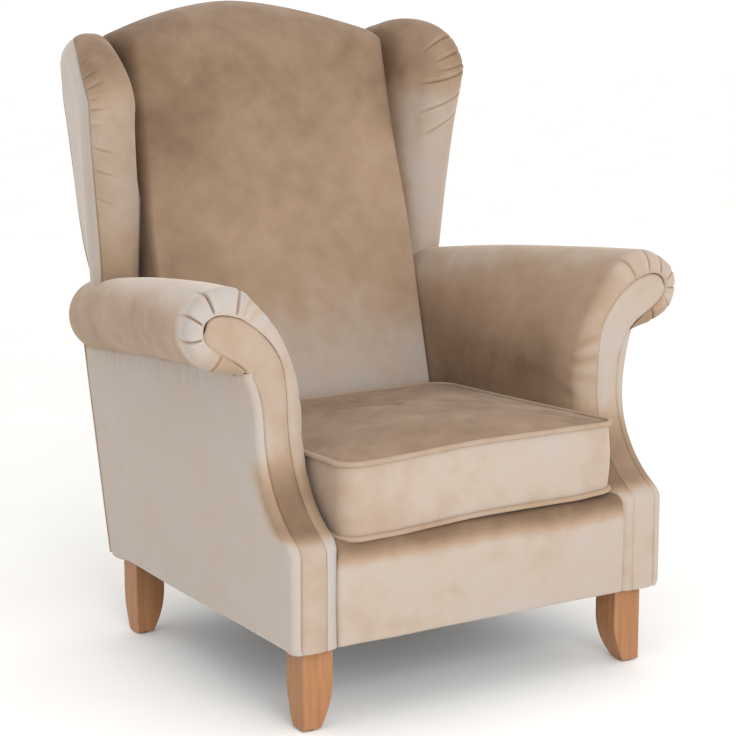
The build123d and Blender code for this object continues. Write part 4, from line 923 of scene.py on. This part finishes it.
# Cushion cover, from the middle of its underside up the border to the middle of its crown
def seat_cushion():
    border_start = 0.24
    border_end = 0.52
    floor_z = 0.3010
    crown = 0.020
    middle = (CUSHION_FRONT + CUSHION_REAR) / 2

    def surface(u, v):
        keep = pick(
            v,
            (border_start, lambda t: np.sin(t * QUARTER)),
            (border_end, lambda t: 1 + 0 * t),
            (1.00, lambda t: np.cos(t * QUARTER)),
        )
        border = np.clip((v - border_start) / (border_end - border_start), 0, 1)
        bulge = 0.003 * np.sin(math.pi * border)
        x, y = cushion_outline(u)
        away_x = x * bulge / CUSHION_HALF
        away_y = (y - middle) * bulge / (CUSHION_REAR - middle)
        low = seam_low(x * keep, middle + (y - middle) * keep)
        high = seam_high(x * keep, middle + (y - middle) * keep)
        z = pick(
            v,
            (border_start, lambda t: floor_z + (low - floor_z) * t**6),
            (border_end, lambda t: mix(low, high, t)),
            (1.00, lambda t: high + crown * (1 - np.abs(np.cos(t * QUARTER)) ** 4)),
        )
        points = stack(x * keep + away_x, middle + (y - middle) * keep + away_y, z)
        relief = 0.0008 * wander(points, 0.2, 41)
        top = ease((v - 0.50) / 0.04)
        # pile direction and painted shade: border pale and darker at the left front, top browner and darker
        # towards the back
        pile_and_shade = mix(0.65 - 0.4 * ease((-x - 0.10) / 0.12), -0.62 - 0.35 * ease((y + 0.15) / 0.15), top)
        return points, relief, pile_and_shade

    return loft("seat_cushion", 200, 120, surface)


def puff(piece, seams, pressure, cap):
    """Blows the cover out between its seams with a cloth run, holding the seam lines still."""
    frames = 20
    hold_gap = 0.0012
    mesh = piece.data
    start = np.empty(len(mesh.vertices) * 3)
    mesh.vertices.foreach_get("co", start)
    start = start.reshape(-1, 3)
    held = piece.vertex_groups.new(name="seams")
    gaps = [np.abs(start[:, 2] - seam(start[:, 0], start[:, 1])) for seam in seams]
    near = np.nonzero(np.min(gaps, axis=0) < hold_gap)[0]
    held.add([int(i) for i in near], 1.0, "REPLACE")
    cloth = piece.modifiers.new("Cloth", "CLOTH")
    cloth.settings.quality = 6
    cloth.settings.mass = 0.3
    cloth.settings.tension_stiffness = 30
    cloth.settings.compression_stiffness = 30
    cloth.settings.bending_stiffness = 2.0
    cloth.settings.use_pressure = True
    cloth.settings.uniform_pressure_force = pressure
    cloth.settings.vertex_group_mass = "seams"
    cloth.settings.effector_weights.gravity = 0.0
    cloth.collision_settings.use_collision = False
    scene = bpy.context.scene
    for number in range(1, frames + 1):
        scene.frame_set(number)
    bpy.ops.object.select_all(action="DESELECT")
    piece.select_set(True)
    bpy.context.view_layer.objects.active = piece
    bpy.ops.object.modifier_apply(modifier=cloth.name)
    scene.frame_set(1)
    moved = np.empty(len(mesh.vertices) * 3)
    mesh.vertices.foreach_get("co", moved)
    shift = moved.reshape(-1, 3) - start
    size = np.linalg.norm(shift, axis=1, keepdims=True)
    shift *= np.minimum(1.0, cap / np.maximum(size, 1e-9))
    mesh.vertices.foreach_set("co", (start + shift).ravel())
    mesh.update()


def welt(name, seam):
    """Covered cord round the cushion, seated on the seam."""
    seat = 0.0030

    def surface(u, v):
        px, py = cushion_outline(v)
        tx, ty = np.gradient(px, axis=0), np.gradient(py, axis=0)
        tx[0] = tx[-1] = 1.0
        ty[0] = ty[-1] = 0.0
        size = np.maximum(np.hypot(tx, ty), 1e-9)
        nx, ny = ty / size, -tx / size
        away = seat + WELT_R * np.cos(2 * math.pi * u)
        x = px + nx * away
        y = py + ny * away
        z = seam(px, py) + WELT_R * np.sin(2 * math.pi * u)
        points = stack(x, y, z)
        relief = 0.00035 * wander(points, 0.045, 61)
        # painted shade on the cord's inner side, against the cushion
        pile_and_shade = 0.1 - 0.5 * hump(np.abs(np.cos(math.pi * u)), 0.35)
        return points, relief, pile_and_shade

    return loft(name, 20, 700, surface)


# Deck pad under the cushion: a soft slab with rounded edges
def seat_deck():
    low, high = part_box("seat_deck")
    bpy.ops.object.select_all(action="DESELECT")
    bpy.ops.mesh.primitive_cube_add(size=1, location=(low + high) / 2)
    piece = bpy.context.object
    piece.name = "seat_deck_pad"
    piece.scale = high - low
    bpy.ops.object.transform_apply(location=True, rotation=True, scale=True)
    bevel = piece.modifiers.new("Edges", "BEVEL")
    bevel.width = 0.012
    bevel.segments = 5
    bpy.ops.object.modifier_apply(modifier=bevel.name)
    bpy.ops.object.shade_smooth_by_angle(angle=math.radians(40))
    return piece


# Dust cover: one sheet under the seat, cut out round the legs
def dust_cover():
    cells = 120
    leg_gap = 0.0005
    side_inset = 0.0105
    lift = 0.0012
    sag = 0.004
    low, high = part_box("dust_cover")
    bpy.ops.object.select_all(action="DESELECT")
    bpy.ops.mesh.primitive_grid_add(x_subdivisions=cells, y_subdivisions=cells, size=1, location=(0, 0, 0))
    piece = bpy.context.object
    piece.name = "dust_cover_cloth"
    mesh = piece.data
    co = np.empty(len(mesh.vertices) * 3)
    mesh.vertices.foreach_get("co", co)
    co = co.reshape(-1, 3)
    lines_x = np.linspace(low.x, high.x, cells + 1)
    lines_y = np.linspace(low.y, high.y, cells + 1)
    legs = [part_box(f"leg_{place}") for place in ("front_left", "front_right", "rear_left", "rear_right")]
    for near, far in legs:
        for edge in (near.x - leg_gap, far.x + leg_gap):
            lines_x[np.argmin(np.abs(lines_x - edge))] = edge
        for edge in (near.y - leg_gap, far.y + leg_gap):
            lines_y[np.argmin(np.abs(lines_y - edge))] = edge
    x = lines_x[np.rint((co[:, 0] + 0.5) * cells).astype(int)]
    y = lines_y[np.rint((co[:, 1] + 0.5) * cells).astype(int)]
    across = x / high.x
    deep = (y - (low.y + high.y) / 2) / ((high.y - low.y) / 2)
    middle = (1 - across**2) * (1 - deep**2)
    z = low.z + lift - sag * np.maximum(middle, 0)
    edge = outer_x(y) - side_inset
    x = np.clip(x, -edge, edge)
    mesh.vertices.foreach_set("co", np.stack((x, y, z), axis=1).ravel())
    mesh.update()
    bpy.ops.object.mode_set(mode="EDIT")
    bpy.ops.mesh.select_all(action="SELECT")
    bpy.ops.mesh.remove_doubles(threshold=0.0001)
    bpy.ops.mesh.select_mode(type="FACE")
    bpy.ops.mesh.select_all(action="DESELECT")
    bpy.ops.object.mode_set(mode="OBJECT")
    for polygon in mesh.polygons:
        c = polygon.center
        polygon.select = any(a.x < c.x < b.x and a.y < c.y < b.y for a, b in legs)
    bpy.ops.object.mode_set(mode="EDIT")
    bpy.ops.mesh.delete(type="FACE")
    bpy.ops.mesh.select_mode(type="VERT")
    bpy.ops.object.mode_set(mode="OBJECT")
    solid = piece.modifiers.new("Thickness", "SOLIDIFY")
    solid.thickness = 0.0008
    solid.offset = 0.0
    bpy.ops.object.modifier_apply(modifier=solid.name)
    bpy.ops.object.shade_smooth_by_angle(angle=math.radians(40))
    return piece


# Materials
def linear(code):
    """Linear colour of an sRGB hex code."""
    channels = [int(code[i : i + 2], 16) / 255 for i in (1, 3, 5)]
    return tuple(c / 12.92 if c <= 0.04045 else ((c + 0.055) / 1.055) ** 2.4 for c in channels) + (1.0,)


def add(tree, kind, settings=None, **links):
    """Adds a node, sets its properties and socket values, and links other nodes' outputs to its sockets."""
    node = tree.nodes.new(kind)
    for key, value in (settings or {}).items():
        if isinstance(key, str) and hasattr(node, key):
            setattr(node, key, value)
        else:
            node.inputs[key].default_value = value
    for key, output in links.items():
        index = int(key[1:]) if key[1:].isdigit() else key.replace("_", " ")
        tree.links.new(output, node.inputs[index])
    return node


def new_material(name):
    material = bpy.data.materials.new(name)
    material.use_nodes = True
    tree = material.node_tree
    tree.nodes.clear()
    return material, tree


def ramp(tree, fac, stops):
    node = add(tree, "ShaderNodeValToRGB", Fac=fac)
    elements = node.color_ramp.elements
    while len(elements) < len(stops):
        elements.new(0.5)
    for element, (place, colour) in zip(elements, stops):
        element.position = place
        element.color = linear(colour)
    return node.outputs["Color"]


def object_place(tree):
    return add(tree, "ShaderNodeTexCoord").outputs["Object"]


def stretched(tree, place, scale):
    return add(tree, "ShaderNodeMapping", {"Scale": scale}, Vector=place).outputs[0]


def noise(tree, place, scale, detail, roughness=0.5):
    settings = {"Scale": scale, "Detail": detail, "Roughness": roughness}
    return add(tree, "ShaderNodeTexNoise", settings, Vector=place).outputs["Fac"]


def threads(tree, place, way, scale):
    settings = {"bands_direction": way, "Scale": scale, "Distortion": 0.6}
    return add(tree, "ShaderNodeTexWave", settings, Vector=place).outputs["Fac"]


def scaled(tree, value, gain, offset):
    settings = {"operation": "MULTIPLY_ADD", 1: gain, 2: offset}
    return add(tree, "ShaderNodeMath", settings, _0=value).outputs[0]


def join(tree, operation, first, second):
    return add(tree, "ShaderNodeMath", {"operation": operation}, _0=first, _1=second).outputs[0]


def between(tree, value, low, high):
    """Spreads a value from 0 to 1 between two levels."""
    return add(tree, "ShaderNodeMapRange", {"To Min": low, "To Max": high}, Value=value).outputs[0]


def bumps(tree, height, strength, distance):
    settings = {"Strength": strength, "Distance": distance}
    return add(tree, "ShaderNodeBump", settings, Height=height).outputs[0]


def coat(tree, settings, **links):
    """Surface of a finish, joined to the material's output."""
    shader = add(tree, "ShaderNodeBsdfPrincipled", settings, **links)
    add(tree, "ShaderNodeOutputMaterial", Surface=shader.outputs[0])


# Cut velvet: short upright pile, coloured by the pile's brushing together with painted light and shade:
# paler on lit faces and where it is brushed towards the eye, browner in the folds where shade is painted
def velvet():
    material, tree = new_material("Taupe cut velvet")
    place = object_place(tree)
    pile_and_shade = add(tree, "ShaderNodeAttribute", {"attribute_name": "pile_and_shade"}).outputs["Fac"]
    # brushed patches about 120 mm across
    cloud = noise(tree, place, 8.0, 3.0, 0.55)
    # pile tufts about 1.5 mm across, coarser than real ones so that they show
    pile = noise(tree, place, 650.0, 2.0, 0.6)
    # marks left by the hand, about 35 mm across
    brush = noise(tree, place, 28.0, 2.0)
    total = scaled(tree, pile_and_shade, 0.40, 0.47)
    for marks, gain in ((cloud, 0.45), (pile, 0.22), (brush, 0.24)):
        total = join(tree, "ADD", total, scaled(tree, marks, gain, -gain / 2))
    stops = [(0.0, "#6E5744"), (0.45, "#99816B"), (0.75, "#A8998C"), (1.0, "#A59F9A")]
    coat(
        tree,
        {"Sheen Roughness": 0.42, "Sheen Tint": linear("#F1E3D6"), "Specular IOR Level": 0.18},
        Base_Color=ramp(tree, total, stops),
        Roughness=between(tree, cloud, 0.78, 0.95),
        Normal=bumps(tree, pile, 0.35, 0.0008),
        # less sheen where the pile is brushed away from the eye and where shade is painted darker
        Sheen_Weight=between(tree, total, 0.12, 0.62),
    )
    return material


def wood(name, pale, mid, dark, gloss, scale):
    """Plain-sawn wood with the grain up the piece and short ray flecks."""
    material, tree = new_material(name)
    place = object_place(tree)
    grain = noise(tree, stretched(tree, place, (scale, scale, scale * 0.06)), 1.0, 5.0, 0.62)
    fleck = noise(tree, stretched(tree, place, (900.0, 900.0, 160.0)), 1.0, 1.0)
    both = join(tree, "ADD", grain, scaled(tree, fleck, 0.30, -0.15))
    coat(
        tree,
        {"Specular IOR Level": 0.4},
        Base_Color=ramp(tree, both, [(0.25, dark), (0.5, mid), (0.75, pale)]),
        Roughness=between(tree, grain, gloss - 0.06, gloss + 0.10),
        Normal=bumps(tree, both, 0.12, 0.0004),
    )
    return material


def metal(name, pale, dark, gloss):
    """Bare metal with small blotches and uneven dulling."""
    material, tree = new_material(name)
    blotch = noise(tree, object_place(tree), 60.0, 4.0)
    coat(
        tree,
        {"Metallic": 1.0},
        Base_Color=ramp(tree, blotch, [(0.3, dark), (0.7, pale)]),
        Roughness=between(tree, blotch, gloss - 0.08, gloss + 0.12),
        Normal=bumps(tree, blotch, 0.08, 0.0003),
    )
    return material


def cloth_or_plastic(name, pale, dark, weave, gloss, relief):
    """Plain woven lining or moulded plastic: crossed threads or fine grain of a given scale."""
    material, tree = new_material(name)
    place = object_place(tree)
    cross = join(tree, "MAXIMUM", threads(tree, place, "X", weave), threads(tree, place, "Y", weave))
    coat(
        tree,
        {"Specular IOR Level": 0.25},
        Base_Color=ramp(tree, cross, [(0.1, dark), (0.9, pale)]),
        Roughness=between(tree, cross, gloss - 0.08, gloss + 0.06),
        Normal=bumps(tree, cross, relief, 0.0004),
    )
    return material


FINISH = {
    "velvet": velvet(),
    "leg_wood": wood("Satin lacquered beech", "#A57650", "#986943", "#895A38", 0.42, 110.0),
    "frame_wood": wood("Sawn hardwood", "#D8BC92", "#C2A071", "#9F7C50", 0.75, 70.0),
    "spring_steel": metal("Bare spring steel", "#8D8F93", "#55575A", 0.42),
    "insert_brass": metal("Plain brass", "#C6A55B", "#8E7136", 0.38),
    "lining_cloth": cloth_or_plastic("Black lining cloth", "#2B2A29", "#121212", 260.0, 0.85, 0.3),
    "glide_plastic": cloth_or_plastic("Dark moulded glide", "#3A332E", "#26211E", 420.0, 0.5, 0.08),
}


def finish(piece, slot, body, node):
    """Gives a piece its finish and its body, and hides the frame node that it stands in for."""
    piece.data.materials.clear()
    piece.data.materials.append(FINISH[slot])
    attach(piece, body)
    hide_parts(node)


# Pleats of each scroll: place round the roll, depth, reach and slant
PLEATS = {
    -1: (
        (-72, 0.0030, 0.020, 0), (-17, 0.0052, 0.024, 6), (26, 0.0062, 0.030, -4),
        (66, 0.0064, 0.030, -6), (112, 0.0056, 0.026, 5), (119, 0.0026, 0.012, 6),
        (125, 0.0034, 0.014, 8), (131, 0.0032, 0.012, 6), (138, 0.0018, 0.010, 4),
    ),
    1: (
        (-70, 0.0030, 0.022, 5), (-36, 0.0024, 0.018, -4), (-3, 0.0036, 0.026, 4),
        (27, 0.0034, 0.024, -5), (54, 0.0040, 0.028, 4), (86, 0.0034, 0.024, -4),
        (122, 0.0028, 0.022, 5), (158, 0.0020, 0.020, 6), (166, 0.0022, 0.024, 3),
        (174, 0.0018, 0.020, 0),
    ),
}
# Gathers of each wing: place along the rim, depth, reach from the outer seam and slant
GATHERS = {
    -1: (
        (0.285, 0.0008, 0.040, -0.35), (0.352, 0.0012, 0.050, -0.30), (0.405, 0.0015, 0.054, -0.25),
        (0.452, 0.0010, 0.038, 0.05), (0.492, 0.0015, 0.044, 0.05), (0.520, 0.0011, 0.038, 0.05),
        (0.556, 0.0015, 0.046, 0.10), (0.590, 0.0012, 0.044, 0.10), (0.640, 0.0008, 0.038, 0.05),
    ),
    1: (
        (0.463, 0.0020, 0.108, -0.75), (0.504, 0.0022, 0.122, -0.60), (0.548, 0.0024, 0.130, -0.40),
        (0.563, 0.0014, 0.104, -0.30), (0.598, 0.0018, 0.108, -0.30), (0.640, 0.0020, 0.122, -0.20),
    ),
}

for side, word in SIDE_NAME.items():
    finish(arm_pad(side, PLEATS[side]), "velvet", "chair", f"arm_pad_{word}")
    finish(arm_facing(side), "velvet", "chair", f"arm_facing_{word}")
    finish(arm_outer_panel(side), "velvet", "chair", f"arm_outer_panel_{word}")
    finish(wing_pad(side, GATHERS[side]), "velvet", "chair", f"wing_pad_{word}")
    finish(wing_outer_panel(side), "velvet", "chair", f"wing_outer_panel_{word}")
finish(inside_back(), "velvet", "chair", "inside_back_pad")
finish(outside_back(), "velvet", "chair", "outside_back_panel")
finish(apron(), "velvet", "chair", "front_apron")
cushion = seat_cushion()
puff(cushion, (seam_low, seam_high), 3.0, 0.012)
finish(cushion, "velvet", "cushion", "seat_cushion")
finish(welt("cushion_cord_top", seam_high), "velvet", "cushion", "cushion_welt_top")
finish(welt("cushion_cord_bottom", seam_low), "velvet", "cushion", "cushion_welt_bottom")
finish(seat_deck(), "lining_cloth", "chair", "seat_deck")
finish(dust_cover(), "lining_cloth", "chair", "dust_cover")

# Finishes of the pieces that stay as they are in the frame
slot_of = {entry["node"]: entry["material_slot"] for entry in frame["record"]["subparts"]}
for node, piece in frame["nodes"].items():
    piece.data.materials.clear()
    piece.data.materials.append(FINISH[slot_of[node]])

# Floor and light
bpy.ops.object.select_all(action="DESELECT")
bpy.ops.mesh.primitive_plane_add(size=30, location=(0, 0, 0))
floor = bpy.context.object
floor.name = "floor"
floor_material, floor_tree = new_material("Pale studio floor")
floor_marks = noise(floor_tree, object_place(floor_tree), 3.0, 2.0)
floor_colour = ramp(floor_tree, floor_marks, [(0.3, "#F4F3F1"), (0.7, "#F8F7F5")])
coat(floor_tree, {"Roughness": 0.7}, Base_Color=floor_colour)
floor.data.materials.append(floor_material)

world = bpy.data.worlds.new("Studio white")
bpy.context.scene.world = world
world.use_nodes = True
world.node_tree.nodes["Background"].inputs["Color"].default_value = (1.0, 1.0, 1.0, 1.0)
world.node_tree.nodes["Background"].inputs["Strength"].default_value = 1.10


def softbox(name, place, target, width, height, power):
    light = bpy.data.lights.new(name, "AREA")
    light.shape = "RECTANGLE"
    light.size = width
    light.size_y = height
    light.energy = power
    lamp = bpy.data.objects.new(name, light)
    bpy.context.scene.collection.objects.link(lamp)
    lamp.location = place
    lamp.rotation_euler = (Vector(target) - Vector(place)).to_track_quat("-Z", "Y").to_euler()


softbox("front_softbox", (-0.6, -3.2, 1.5), (0, -0.1, 0.5), 2.2, 1.8, 60)

camera = bpy.data.cameras.new("camera")
camera.lens = 100.83
camera.sensor_width = 36.0
eye = bpy.data.objects.new("camera", camera)
bpy.context.scene.collection.objects.link(eye)
eye.location = (-1.8472, -3.0428, 1.1506)
eye.rotation_euler = (QUARTER - 0.18940, 0.0, -0.56036)
bpy.context.scene.camera = eye
